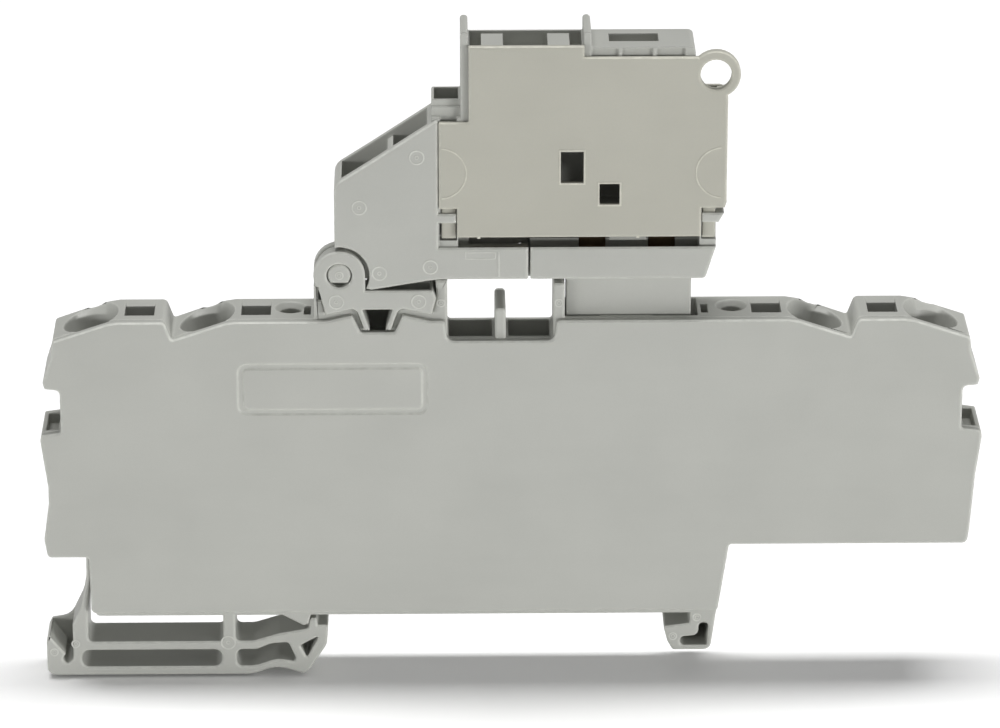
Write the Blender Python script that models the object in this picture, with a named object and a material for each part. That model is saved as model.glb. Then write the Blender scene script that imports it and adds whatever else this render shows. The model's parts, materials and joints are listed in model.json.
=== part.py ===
"""Fuse terminal block with a pivoting holder for a 5 x 20 mm cartridge fuse.

X runs along the block, Y through its thickness with the end plate at -Y, and Z is up. The origin is
the middle of the seat under the base, halfway through the thickness. Sizes are in millimetres and
become metres when a mesh is made.
"""

import math

import bpy
import bmesh
from mathutils import Matrix, Vector

MM = 0.001

# Whole block, as thick as the fuse's caps in the cover's two walls
FIT = 0.05
CAP_RADIUS = 2.6
COVER_WALL = 0.45
BLOCK_WIDTH = 2 * (CAP_RADIUS + FIT + COVER_WALL)
CENTRE_X = 0.73
TOP_Z = 30.1
ARC_STEPS = 4
ROUND_SIDES = 32
BORE_SIDES = 24

# Base and end plate
PLATE_THICKNESS = 0.75
PLATE_BOTTOM_Z = 0.6
BACK_WALL = 0.8
HALF_LENGTH = 43.9
SLOPE_DROP = 1.87
LEFT_WING_Z = 6.4
RIGHT_WING_Z = 7.4
LEFT_SHOULDER_X = -38.9
RIGHT_SHOULDER_X = 20.2
SHOULDER_LEAN = 1.0
END_NOTCH_LOW = 19.1
END_NOTCH_HIGH = 23.35
END_NOTCH_DEPTH = 1.95
PEG_RADIUS = 0.9
PEG_LENGTH = 2.2
PEG_CLEARANCE = 0.1
LABEL_LOW = (-24.6, 20.95)
LABEL_HIGH = (-7.15, 25.85)
LABEL_RIM = 0.35
LABEL_DEPTH = 0.15

# Seat, latch foot and hook
SEAT_HALF = 17.55
FOOT_THICKNESS = 4.4
FOOT_BOTTOM_Z = -6.15
FOOT_LEFT_X = -43.3
FOOT_BEAM = 0.85
FOOT_SLOT = 1.75
FOOT_WALL = 0.35
FOOT_RIB = (-26.55, -25.4)
HOOK_BOTTOM_Z = -3.85
CATCH_TOP_Z = -1.08

# Conductor clamps, measured from each funnel's middle towards the middle of the block
OUTER_CLAMP = 39.0
CLAMP_PITCH = 10.8
FUNNEL_HALF_X = 2.45
FUNNEL_HALF_Y = 2.3
FUNNEL_Y = 0.1
FLARE_HALF_X = 2.75
FLARE_HALF_Y = 3.2
FLARE_DEPTH = 0.6
BORE_RADIUS = 1.65
FUNNEL_DEPTH = 4.5
FUNNEL_TILT = math.radians(10)
FUNNEL_SHIFT = 0.2
TOOL_SLOT_START = 3.15
TOOL_SLOT_LENGTH = 2.75
TOOL_SLOT_WIDTH = 2.45
TOOL_SLOT_Y = 0.05
TOOL_SLANT = 0.8
TOOL_SLANT_DEPTH = 0.5
TEST_HOLE_RADIUS = 1.0
TEST_HOLE_OFFSET = 7.7
TEST_HOLE_Y = 0.7
TEST_FLARE = 0.5
SLIT_START = {-1: 18.6, 1: 17.6}
SLIT_LENGTH = 0.65
SLIT_WIDTH = 2.2
SLIT_DEPTH = 3.0
CHAMBER_START = -1.2
CHAMBER_END = 7.0
CHAMBER_ROOM = 1.6
BUSBAR_Z = 11.5
BUSBAR_THICKNESS = 1.0
BUSBAR_RISE = 6.2
METAL_WIDTH = 3.4
TAB_HEIGHT = 8.5
SPRING_THICKNESS = 0.45
SPRING_HEIGHT = 11.0

# Middle of the base
WINDOW_LEFT = -5.2
WINDOW_RIGHT = 4.6
WINDOW_Z = 28.1
RIB_THICKNESS = 1.0
RIB_TOP_Z = 31.05
POST_THICKNESS = 1.05
RIGHT_POST_Z = 33.5
LEFT_POST_Z = 33.85
EAR_POST_Z = 33.45
EAR_POST_THICKNESS = 0.4
EAR_ROOM_Z = 31.95
JUMPER_MARGIN = 0.65

# Hinge bracket
PIVOT_X = -15.15
PIVOT_Z = 34.6
EAR_RADIUS = 2.38
EAR_THICKNESS = 0.9
LUG_THICKNESS = 1.0
LUG_RADIUS = 2.2
LUG_CLEARANCE = 0.1
PIN_RADIUS = 1.08
PIN_CLEARANCE = 0.1
PIN_FLAT = 0.75
BRACKET_TOP_Z = 33.1
BRACKET_RIGHT_X = -6.3
BRACKET_WALL = 0.5
BRACKET_POCKET_DEPTH = 1.15
DOVETAIL_X = -11.65

# Fuse holder
HOLDER_WIDTH = BLOCK_WIDTH - 0.2
CORE_WIDTH = 2 * CAP_RADIUS - 0.1
HOLDER_LEFT_X = -15.55
HOLDER_BOTTOM_Z = 34.2
BAR_TOP_Z = 37.35
JOINT_X = 2.35
JOINT_GAP = 0.2
JOINT_LAP = 0.8
JOINT_WALL = 0.7
LAP_TOP_Z = 36.45
HOLDER_TOP_Z = 56.55
HOLDER_TOP_RIGHT_X = 17.4
COLUMN_LEFT_X = 18.35
COLUMN_RIGHT_X = 19.5
COLUMN_TOP_Z = 51.0
FIN_Z = 58.0
FIN_THICKNESS = 0.7
RIGHT_FIN_X = 7.6
SOCKET_Y = 1.95
SOCKET_LEFT_X = -6.6
SOCKET_TOP_Z = 51.3
MARKER_POCKETS = ((-3.1, -2.05), (-0.05, 4.0), (6.0, 7.1))
MARKER_DEPTH = 1.4
GROOVE_FLOOR_Z = 36.8
GROOVE_LIP = 0.25
GROOVE_BOSS = (9.75, 13.15)
FACE_POCKETS = ((7.95, 10.4), (10.7, 13.5), (13.85, 16.45))
TOP_SLOT_LOW = (9.6, -0.9)
TOP_SLOT_HIGH = (14.1, 1.3)
TOP_SLOT_DEPTH = 1.3
WELL_LOW = (3.6, 40.4)
WELL_RIGHT_X = 12.3
ARM_WALLS = (-10.6, -10.1, -6.95)
ARM_SLANT = (3.4, 45.7)
HINGE_RELIEF = 0.42
SLOPE_END_X = -12.2
SLOPE_FALL = 1.0

# Fuse and its contacts
FUSE_LENGTH = 20.0
FUSE_X = 7.4
FUSE_Z = 50.6
CAP_LENGTH = 5.3
CAP_WALL = 0.12
TUBE_WALL = 0.5
WIRE_RADIUS = 0.12
BLADE_THICKNESS = 0.8
BLADE_WIDTH = 2.4
LEFT_BLADE_X = 8.2
RIGHT_BLADE_X = 14.6
BLADE_TIP_Z = 23.6
PRONG_HEIGHT = 0.85
PRONG_LENGTH = 5.0
STRIP_HEIGHT = 0.8
RISER_WIDTH = 0.5
JAW_BASE_GAP = 1.1
JAW_HEIGHT = 8.0
JAW_THICKNESS = 0.4
JAW_LENGTH = 2.6

# Plug
PLUG_LEFT_X = 5.8
PLUG_RIGHT_X = 17.35
PLUG_FRONT_Y = -1.35
PLUG_BACK_Y = 1.9
PLUG_DEPTH = 2.0
PLUG_CLEARANCE = 0.15
PLUG_SWING_ROOM = 0.65
PLUG_FRONT_GAP = 0.45
PLUG_PAD_X = (8.9, 13.8)

# Cover
COVER_LEFT_X = -5.95
COVER_STEP_X = -3.2
COVER_RIGHT_X = 20.4
COVER_BOTTOM_Z = 38.35
COVER_SHOULDER_Z = 49.5
COVER_TOP_Z = 56.8
COVER_LOW_TOP_Z = 55.7
COVER_STEP_TOP_X = 7.3
END_WALL = 0.75
END_WALL_TOP_Z = 51.1
RING_X = 19.27
RING_Z = 54.0
RING_RADIUS = 2.25
RING_HOLE = 1.43
RING_THICKNESS = 0.9
STRAP_HIGH_Z = 40.6
STRAP_LOW_Z = 39.7
STRAP_GAP = 0.55
STRAP_SLANT = 0.55
TONGUE_POCKET = 0.2
TONGUE_POCKET_DEPTH = 1.1
TONGUE_WIDTH = (1.3, 1.15)
TONGUE_BOTTOM_Z = 38.1
TONGUE_TOP_Z = 43.0
COVER_WINDOWS = ((5.2, 43.65, 7.3, 46.7), (8.75, 41.55, 10.6, 43.55))

# Derived planes
FRONT_Y = -BLOCK_WIDTH / 2
BACK_Y = BLOCK_WIDTH / 2
BASE_FRONT_Y = FRONT_Y + PLATE_THICKNESS
CAVITY_BACK_Y = BACK_Y - BACK_WALL
METAL_Y = (BASE_FRONT_Y + CAVITY_BACK_Y) / 2
BUSBAR_TOP_Z = BUSBAR_Z + BUSBAR_THICKNESS
HOLDER_Y = HOLDER_WIDTH / 2
CORE_Y = CORE_WIDTH / 2
BEYOND = 5.0


# Materials


def linear(red, green, blue):
    """Base colour from the 0 to 255 values that a picture shows."""
    channels = []
    for value in (red, green, blue):
        share = value / 255
        channels.append(share / 12.92 if share <= 0.04045 else ((share + 0.055) / 1.055) ** 2.4)
    return (*channels, 1.0)


def material(name, colour, roughness, metallic=0.0):
    made = bpy.data.materials.new(name)
    made.use_nodes = True
    shader = made.node_tree.nodes["Principled BSDF"]
    shader.inputs["Base Color"].default_value = colour
    shader.inputs["Roughness"].default_value = roughness
    shader.inputs["Metallic"].default_value = metallic
    made.diffuse_color = colour
    return made


def glass():
    made = material("fuse_glass", linear(222, 232, 228), 0.06)
    made.node_tree.nodes["Principled BSDF"].inputs["Transmission Weight"].default_value = 1.0
    return made


# Outlines, as points (x, z) or corners (x, z, radius)


def rounded(corners, steps=ARC_STEPS):
    """The outline through these corners, each corner with a radius turned into an arc."""
    outline = []
    count = len(corners)
    for i, corner in enumerate(corners):
        here = Vector(corner[:2])
        radius = corner[2] if len(corner) > 2 else 0.0
        before = Vector(corners[i - 1][:2]) - here
        after = Vector(corners[(i + 1) % count][:2]) - here
        if radius <= 0 or min(before.length, after.length) < 1e-6:
            outline.append(tuple(here))
            continue
        angle = before.angle(after)
        if angle > math.pi - 0.02:
            outline.append(tuple(here))
            continue
        reach = radius / math.tan(angle / 2)
        limit = 0.48 * min(before.length, after.length)
        if reach > limit:
            reach = limit
            radius = reach * math.tan(angle / 2)
        first = here + before.normalized() * reach
        last = here + after.normalized() * reach
        middle = here + (before.normalized() + after.normalized()).normalized() * (
            radius / math.sin(angle / 2)
        )
        turn = math.pi - angle
        pieces = max(1, math.ceil(turn / (math.pi / 2) * steps))
        start = math.atan2(first.y - middle.y, first.x - middle.x)
        sweep = math.atan2(last.y - middle.y, last.x - middle.x) - start
        sweep = (sweep + math.pi) % (2 * math.pi) - math.pi
        for k in range(pieces + 1):
            a = start + sweep * k / pieces
            outline.append((middle.x + radius * math.cos(a), middle.y + radius * math.sin(a)))
    return outline


def arc(x, z, radius, start, end, pieces):
    """Points on a circle about (x, z), from start to end in degrees."""
    turned = []
    for k in range(pieces + 1):
        a = math.radians(start + (end - start) * k / pieces)
        turned.append((x + radius * math.cos(a), z + radius * math.sin(a)))
    return turned


def circle(x, z, radius, sides=ROUND_SIDES):
    return arc(x, z, radius, 0, 360 - 360 / sides, sides - 1)


def rectangle(x0, z0, x1, z1, radius=0.0):
    return rounded([(x0, z0, radius), (x1, z0, radius), (x1, z1, radius), (x0, z1, radius)])


def strip(path, thickness):
    """The outline of a sheet that follows a path of points."""
    points = [Vector(p) for p in path]
    left, right = [], []
    for i, point in enumerate(points):
        before = (point - points[i - 1]).normalized() if i else None
        after = (points[i + 1] - point).normalized() if i + 1 < len(points) else None
        run = before or after
        if before and after:
            run = (before + after).normalized()
        stretch = thickness / 2 / max(0.3, run.dot(before or after))
        side = Vector((-run.y, run.x)) * stretch
        left.append(tuple(point + side))
        right.append(tuple(point - side))
    return left + right[::-1]


def bent(corners, steps=ARC_STEPS):
    """An open path through corners (x, z, radius), with its bends as arcs."""
    ends = [corners[0][:2], *corners, corners[-1][:2]]
    return rounded(ends, steps)[1:-1]


# Solids


def finish_mesh(name, form):
    bmesh.ops.recalc_face_normals(form, faces=form.faces[:])
    mesh = bpy.data.meshes.new(name)
    form.to_mesh(mesh)
    form.free()
    piece = bpy.data.objects.new(name, mesh)
    bpy.context.scene.collection.objects.link(piece)
    return piece


def prism(name, outline, low, high, along="Y"):
    """A closed body: an outline run from low to high along Y, or along X or Z."""
    form = bmesh.new()
    corners = []
    for first, second in outline:
        spot = {"X": (low, first, second), "Y": (first, low, second), "Z": (first, second, low)}
        corners.append(form.verts.new(Vector(spot[along]) * MM))
    face = form.faces.new(corners)
    travel = Vector([high - low if axis == along else 0 for axis in "XYZ"])
    grown = bmesh.ops.extrude_face_region(form, geom=[face])
    moved = [v for v in grown["geom"] if isinstance(v, bmesh.types.BMVert)]
    bmesh.ops.translate(form, verts=moved, vec=travel * MM)
    return finish_mesh(name, form)


def block(name, low, high):
    """A box between two corners (x, y, z)."""
    outline = [(low[0], low[2]), (high[0], low[2]), (high[0], high[2]), (low[0], high[2])]
    return prism(name, outline, low[1], high[1])


def funnel(name, stations):
    """A bore through oval stations (middle, half length, half width), from its foot to its mouth."""
    form = bmesh.new()
    axis = Vector(stations[-1][0]) - Vector(stations[0][0])
    turn = Vector((0, 0, 1)).rotation_difference(axis.normalized()).to_matrix()
    rings = []
    for spot, half_x, half_y in stations:
        ring = []
        for x, y in circle(0, 0, 1.0, BORE_SIDES):
            local = turn @ Vector((x * half_x, y * half_y, 0))
            ring.append(form.verts.new((Vector(spot) + local) * MM))
        rings.append(ring)
    for lower, upper in zip(rings, rings[1:]):
        for i in range(BORE_SIDES):
            form.faces.new((lower[i - 1], lower[i], upper[i], upper[i - 1]))
    form.faces.new(rings[0][::-1])
    form.faces.new(rings[-1])
    return finish_mesh(name, form)


def combine(piece, others, operation):
    """Applies one Boolean for each of the other solids, which are then removed."""
    for other in others:
        step = piece.modifiers.new(other.name, "BOOLEAN")
        step.operation = operation
        step.object = other
        step.solver = "EXACT"
    bpy.context.view_layer.update()
    graph = bpy.context.evaluated_depsgraph_get()
    made = bpy.data.meshes.new_from_object(piece.evaluated_get(graph))
    piece.modifiers.clear()
    old = piece.data
    piece.data = made
    made.name = piece.name
    bpy.data.meshes.remove(old)
    for other in others:
        bpy.data.objects.remove(other)
    return piece


def cut(piece, cutters):
    return combine(piece, cutters, "DIFFERENCE")


def join(piece, others):
    return combine(piece, others, "UNION")


def dress(piece, finish, origin=(0, 0, 0), parent=None):
    """Gives a piece its material and its origin, and hangs it on its parent."""
    piece.data.materials.clear()
    piece.data.materials.append(finish)
    piece.data.set_sharp_from_angle(angle=math.radians(35))
    spot = Vector(origin) * MM
    piece.data.transform(Matrix.Translation(-spot))
    piece.location = spot
    if parent is not None:
        piece.parent = parent
        piece.matrix_parent_inverse = Matrix.Translation(-parent.matrix_world.translation)
    return piece


# Outline of the base and the end plate


def across(side, half):
    """X of a place that lies this far from the middle of the block, on side -1 or 1."""
    return CENTRE_X + side * half


def clamp_half(index):
    return OUTER_CLAMP - index * CLAMP_PITCH


def slope_z(half):
    """Height of the top over the outer or inner conductor funnel."""
    start = OUTER_CLAMP - 2.1
    if half < OUTER_CLAMP - CLAMP_PITCH / 2:
        start -= CLAMP_PITCH
    return TOP_Z - SLOPE_DROP / 5.6 * max(0.0, half - start)


def top_to_end(side):
    """Corners from the flat beside the middle out to the lower lip of the end notch."""
    inner_edge = OUTER_CLAMP - 2.1 - CLAMP_PITCH
    outer_edge = OUTER_CLAMP - 2.1
    valley = inner_edge + 5.35
    wall = HALF_LENGTH - END_NOTCH_DEPTH
    corners = [
        (inner_edge, TOP_Z, 3.0),
        (valley, slope_z(valley), 0.25),
        (valley + 0.65, TOP_Z, 0.5),
        (outer_edge, TOP_Z, 3.0),
        (HALF_LENGTH - 1.4, slope_z(HALF_LENGTH - 1.4), 0.35),
        (HALF_LENGTH - 1.25, (TOP_Z + END_NOTCH_HIGH) / 2, 2.0),
        (HALF_LENGTH - 0.4, END_NOTCH_HIGH + 0.8, 0.25),
        (HALF_LENGTH - 0.55, END_NOTCH_HIGH + 0.15, 0.15),
        (wall, END_NOTCH_HIGH, 0.5),
        (wall, END_NOTCH_LOW, 0.3),
        (HALF_LENGTH - 0.1, END_NOTCH_LOW - 0.25, 0.2),
        (HALF_LENGTH, END_NOTCH_LOW - 0.8, 0.4),
    ]
    return [(across(side, half), z, r) for half, z, r in corners]


def left_end():
    """Corners from the end notch down to the inner end of the left wing."""
    low = LEFT_WING_Z
    return [
        (across(-1, HALF_LENGTH - 0.7), (END_NOTCH_LOW + low) / 2, 6.0),
        (across(-1, HALF_LENGTH - 0.05), low + 1.8, 1.0),
        (across(-1, HALF_LENGTH - 0.35), low, 0.4),
        (LEFT_SHOULDER_X - 0.1, low, 0.3),
    ]


def right_end():
    """Corners from the inner end of the right wing up to the end notch."""
    low = RIGHT_WING_Z
    return [
        (RIGHT_SHOULDER_X + SHOULDER_LEAN, low, 0.3),
        (across(1, HALF_LENGTH - 1.05), low, 0.5),
        (across(1, HALF_LENGTH - 0.85), low + 1.6, 1.0),
        (across(1, HALF_LENGTH - 0.5), (END_NOTCH_LOW + low) / 2 + 1.0, 6.0),
    ]


def seat_rise():
    """Corners of the shoulder that rises to the bracket, from right to left."""
    return [
        (BRACKET_RIGHT_X - 0.55, TOP_Z, 0.6),
        (DOVETAIL_X + 2.35, TOP_Z + 0.6, 0.2),
        (DOVETAIL_X + 1.6, TOP_Z - 1.1, 0.3),
        (DOVETAIL_X - 1.6, TOP_Z - 1.1, 0.3),
        (DOVETAIL_X - 2.35, TOP_Z + 0.6, 0.3),
        (PIVOT_X - 1.3, TOP_Z, 1.5),
    ]


def make_end_plate(finish):
    """The plate that closes the open side, with pegs on its inner face."""
    corners = [
        (WINDOW_RIGHT + 0.35, TOP_Z, 0.4),
        (WINDOW_RIGHT + 0.05, WINDOW_Z, 0.7),
        (WINDOW_LEFT - 0.05, WINDOW_Z, 0.7),
        (WINDOW_LEFT - 0.25, TOP_Z, 0.4),
        *seat_rise(),
        *top_to_end(-1),
        *left_end(),
        (LEFT_SHOULDER_X, PLATE_BOTTOM_Z, 0.5),
        (RIGHT_SHOULDER_X, PLATE_BOTTOM_Z, 0.3),
        *right_end(),
        *top_to_end(1)[::-1],
    ]
    plate = prism("end_plate", rounded(corners), FRONT_Y, BASE_FRONT_Y - FIT)
    pegs = []
    for i, (x, z) in enumerate(peg_places()):
        reach = BASE_FRONT_Y + PEG_LENGTH
        start = BASE_FRONT_Y - PLATE_THICKNESS / 2
        pegs.append(prism(f"peg_{i}", circle(x, z, PEG_RADIUS, 20), start, reach))
    join(plate, pegs)
    outer = rectangle(*LABEL_LOW, *LABEL_HIGH, 0.8)
    groove = prism("label_groove", outer, FRONT_Y - 1, FRONT_Y + LABEL_DEPTH)
    inner = [v + LABEL_RIM for v in LABEL_LOW] + [v - LABEL_RIM for v in LABEL_HIGH]
    cut(groove, [prism("label_field", rectangle(*inner, 0.5), FRONT_Y - 2, FRONT_Y + 1)])
    return dress(cut(plate, [groove]), finish)


def peg_places():
    """Where the end plate's pegs enter the base."""
    return [
        (LEFT_SHOULDER_X + 5.0, PLATE_BOTTOM_Z + 4.3),
        (across(-1, HALF_LENGTH - 2.7), LEFT_WING_Z + 2.5),
        (across(1, HALF_LENGTH - 2.7), RIGHT_WING_Z + 2.2),
        (RIGHT_SHOULDER_X - 4.0, PLATE_BOTTOM_Z + 4.3),
        (WINDOW_LEFT - 3.4, TOP_Z - 4.4),
    ]


# Base


def foot_corners():
    """Outline of the latch foot and of the thin arm that carries it, closed inside the base."""
    low = FOOT_BOTTOM_Z
    left = FOOT_LEFT_X
    upper = low + FOOT_BEAM + FOOT_SLOT + FOOT_BEAM
    catch_left = -SEAT_HALF - 0.15
    rib_left, rib_right = FOOT_RIB
    inside_z = 1.5
    return [
        (LEFT_SHOULDER_X - 0.4, LEFT_WING_Z + 1.0),
        (LEFT_SHOULDER_X - 0.45, 3.9, 1.0),
        (LEFT_SHOULDER_X - 1.0, 1.0, 2.0),
        (LEFT_SHOULDER_X - 2.3, -1.7, 1.5),
        (left + 0.3, -2.0, 0.2),
        (left, -2.6, 0.3),
        (left, low, 0.8),
        (-23.9, low, 2.0),
        (-21.5, low + 0.85, 2.5),
        (-19.0, low + 0.05, 0.25),
        (-18.4, low + 0.5, 0.5),
        (-16.75, CATCH_TOP_Z - 2.0, 1.5),
        (-SEAT_HALF + 0.95, CATCH_TOP_Z, 0.15),
        (catch_left + 0.08, CATCH_TOP_Z, 0.1),
        (catch_left, -0.35, 0.15),
        (catch_left - 0.55, -0.4, 0.15),
        (catch_left - 0.75, -1.45, 0.3),
        (-21.3, upper + 0.75, 1.5),
        (-23.7, upper, 1.5),
        (rib_right, upper, 0.5),
        (rib_right, inside_z),
        (rib_left, inside_z),
        (rib_left, upper, 0.5),
        (LEFT_SHOULDER_X - 0.45, upper, 0.5),
        (LEFT_SHOULDER_X - 0.4, 0.8, 2.0),
        (LEFT_SHOULDER_X + 0.1, 4.6, 1.0),
        (LEFT_SHOULDER_X + 0.1, LEFT_WING_Z + 1.0),
    ]


def ear_post_right():
    """Right face of the thin post beside the bracket's ears."""
    return PIVOT_X - EAR_RADIUS + EAR_POST_THICKNESS


def make_base_body():
    """The outside form of the base, with foot, hook, posts and bracket seat."""
    window_left, window_right = WINDOW_LEFT, WINDOW_RIGHT
    post_right = window_right + POST_THICKNESS
    seat_left = PIVOT_X - EAR_RADIUS
    corners = [
        (post_right, TOP_Z, 0.1),
        (post_right, RIGHT_POST_Z, 0.35),
        (window_right, RIGHT_POST_Z, 0.15),
        (window_right, WINDOW_Z, 0.3),
        (window_left, WINDOW_Z, 0.3),
        (window_left, LEFT_POST_Z, 0.1),
        (BRACKET_RIGHT_X - 0.7, LEFT_POST_Z, 0.1),
        (SLOPE_END_X, HOLDER_BOTTOM_Z - SLOPE_FALL - 0.2, 0.1),
        (SLOPE_END_X - 0.4, EAR_ROOM_Z, 0.3),
        (ear_post_right(), EAR_ROOM_Z, 0.1),
        (ear_post_right(), EAR_POST_Z, 0.1),
        (seat_left, EAR_POST_Z, 0.1),
        (seat_left, TOP_Z, 0.2),
        *top_to_end(-1),
        *left_end(),
        (LEFT_SHOULDER_X + 0.35, LEFT_WING_Z - 0.4, 0.2),
        (LEFT_SHOULDER_X + 0.35, 0.0, 0.4),
        (-20.9, 0.0, 0.1),
        (-18.95, -1.1, 0.3),
        (-18.5, -0.95, 0.1),
        (-18.25, 0.0, 0.1),
        (SEAT_HALF + 0.15, 0.0, 0.1),
        (SEAT_HALF + 0.1, CATCH_TOP_Z, 0.15),
        (SEAT_HALF - 2.4, CATCH_TOP_Z - 0.35, 0.2),
        (SEAT_HALF - 2.0, HOOK_BOTTOM_Z + 0.9, 0.5),
        (SEAT_HALF - 1.5, HOOK_BOTTOM_Z, 0.3),
        (RIGHT_SHOULDER_X - 0.6, HOOK_BOTTOM_Z, 0.7),
        (RIGHT_SHOULDER_X - 0.05, 0.3, 0.1),
        (RIGHT_SHOULDER_X + SHOULDER_LEAN - 0.1, RIGHT_WING_Z - 0.4, 0.1),
        *right_end(),
        *top_to_end(1)[::-1],
    ]
    base = prism("base_housing", rounded(corners), BASE_FRONT_Y, BACK_Y)
    rib_x = (window_left + window_right) / 2
    rib = rectangle(
        rib_x - RIB_THICKNESS / 2, WINDOW_Z - 1, rib_x + RIB_THICKNESS / 2, RIB_TOP_Z, 0.35
    )
    foot_back = BASE_FRONT_Y + FOOT_THICKNESS
    foot = prism("foot", rounded(foot_corners()), BASE_FRONT_Y, foot_back)
    return join(base, [prism("rib", rib, BASE_FRONT_Y, BACK_Y), foot])


def foot_cutters():
    """Slots and openings in the latch foot, its tool pocket and the hook's pocket."""
    low = FOOT_BOTTOM_Z + FOOT_BEAM
    high = low + FOOT_SLOT
    front = BASE_FRONT_Y - 1
    back = BACK_Y + 1
    left = FOOT_LEFT_X + FOOT_WALL
    rib_left, rib_right = FOOT_RIB
    first = rectangle(LEFT_SHOULDER_X - 1.1, low, rib_left - 0.15, high, 0.7)
    second = rounded(
        [
            (rib_right + 0.1, low, 0.5),
            (-23.6, low, 2.0),
            (-21.4, low + 0.75, 2.0),
            (-19.5, low + 0.35, 0.3),
            (-20.4, high + 0.7, 0.4),
            (-22.0, high + 0.6, 1.0),
            (-23.4, high, 1.5),
            (rib_right + 0.1, high, 0.5),
        ]
    )
    third = rounded([(-19.3, -3.2, 0.15), (-18.65, -4.5, 0.15), (-17.35, -2.1, 0.15)])
    pocket = rounded(
        [
            (left, 1.0),
            (left, -2.2, 0.2),
            (left + 1.4, -3.95, 0.15),
            (left + 1.05, -4.5, 0.4),
            (left + 1.6, -5.05, 0.4),
            (left + 2.15, -4.5, 0.4),
            (left + 2.15, 1.0),
        ]
    )
    hook = rounded(
        [
            (SEAT_HALF + 0.95, HOOK_BOTTOM_Z + 2.8, 0.4),
            (SEAT_HALF + 0.9, HOOK_BOTTOM_Z + 1.5, 0.6),
            (SEAT_HALF - 0.8, HOOK_BOTTOM_Z + 1.35, 0.4),
            (SEAT_HALF - 0.8, HOOK_BOTTOM_Z + 0.45, 0.4),
            (SEAT_HALF + 1.75, HOOK_BOTTOM_Z + 0.45, 0.1),
            (SEAT_HALF + 1.9, HOOK_BOTTOM_Z + 2.8, 0.4),
        ]
    )
    return [
        prism("slot_1", first, front, back),
        prism("slot_2", second, front, back),
        prism("slot_3", third, front, back),
        prism("pocket", pocket, front, BASE_FRONT_Y + FOOT_THICKNESS - FOOT_WALL),
        prism("hook_pocket", hook, front, CAVITY_BACK_Y),
    ]


def bracket_seat():
    """The space the bracket drops into, open at the front."""
    return rounded(bracket_corners(FIT, BRACKET_TOP_Z + BEYOND), 3)


def clamp_cutters(side, index):
    """Chamber, funnel and tool slot of one conductor clamp."""
    half = clamp_half(index)
    name = f"clamp_{side}_{index}"

    def x(inward):
        return across(side, half - inward)

    chamber = rounded(
        [
            (x(CHAMBER_START), BUSBAR_Z - 0.3, 0.2),
            (x(CHAMBER_START), BUSBAR_TOP_Z + TAB_HEIGHT + 1.5, 0.6),
            (x(1.6), BUSBAR_TOP_Z + SPRING_HEIGHT + CHAMBER_ROOM, 0.6),
            (x(CHAMBER_END), BUSBAR_TOP_Z + SPRING_HEIGHT + CHAMBER_ROOM, 0.6),
            (x(CHAMBER_END), BUSBAR_Z - 0.3, 0.2),
        ]
    )
    mouth_z = slope_z(half)
    lean = math.tan(FUNNEL_TILT)
    wide_x = 2 * FLARE_HALF_X - FUNNEL_HALF_X
    wide_y = 2 * FLARE_HALF_Y - FUNNEL_HALF_Y

    def station(depth, half_x, half_y):
        spot = (x(depth * lean - FUNNEL_SHIFT), FUNNEL_Y, mouth_z - depth)
        return spot, half_x, half_y

    bore = funnel(
        name + "_bore",
        [
            station(FUNNEL_DEPTH + 3.2, BORE_RADIUS, BORE_RADIUS),
            station(FUNNEL_DEPTH, BORE_RADIUS, BORE_RADIUS),
            station(FLARE_DEPTH, FUNNEL_HALF_X, FUNNEL_HALF_Y),
            station(-FLARE_DEPTH, wide_x, wide_y),
        ],
    )
    slot_x = sorted((x(TOOL_SLOT_START), x(TOOL_SLOT_START + TOOL_SLOT_LENGTH)))
    slot_front = TOOL_SLOT_Y - TOOL_SLOT_WIDTH / 2
    slot_back = slot_front + TOOL_SLOT_WIDTH
    slot = [
        (slot_front, BUSBAR_TOP_Z + SPRING_HEIGHT),
        (slot_front, TOP_Z + TOOL_SLANT_DEPTH),
        (slot_back + 2 * TOOL_SLANT, TOP_Z + TOOL_SLANT_DEPTH),
        (slot_back, TOP_Z - TOOL_SLANT_DEPTH),
        (slot_back, BUSBAR_TOP_Z + SPRING_HEIGHT),
    ]
    return [
        prism(name, chamber, BASE_FRONT_Y - 1, CAVITY_BACK_Y),
        bore,
        prism(name + "_slot", slot, *slot_x, "X"),
    ]


def busbar_path(side, end_x):
    """Middle line of a busbar, from its outer end to under the jaw contact."""
    low = BUSBAR_Z + BUSBAR_THICKNESS / 2
    high = low + BUSBAR_RISE
    outer = across(side, OUTER_CLAMP + 0.7)
    bend = across(side, clamp_half(1) - 8.0)
    return [
        (outer, low, 0),
        (bend, low, 1.5),
        (bend - side * 3.0, high, 1.5),
        (end_x, high, 0),
    ]


def jaw_end(side, blade_x):
    return blade_x - side * (JAW_LENGTH / 2 + 0.2)


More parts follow.
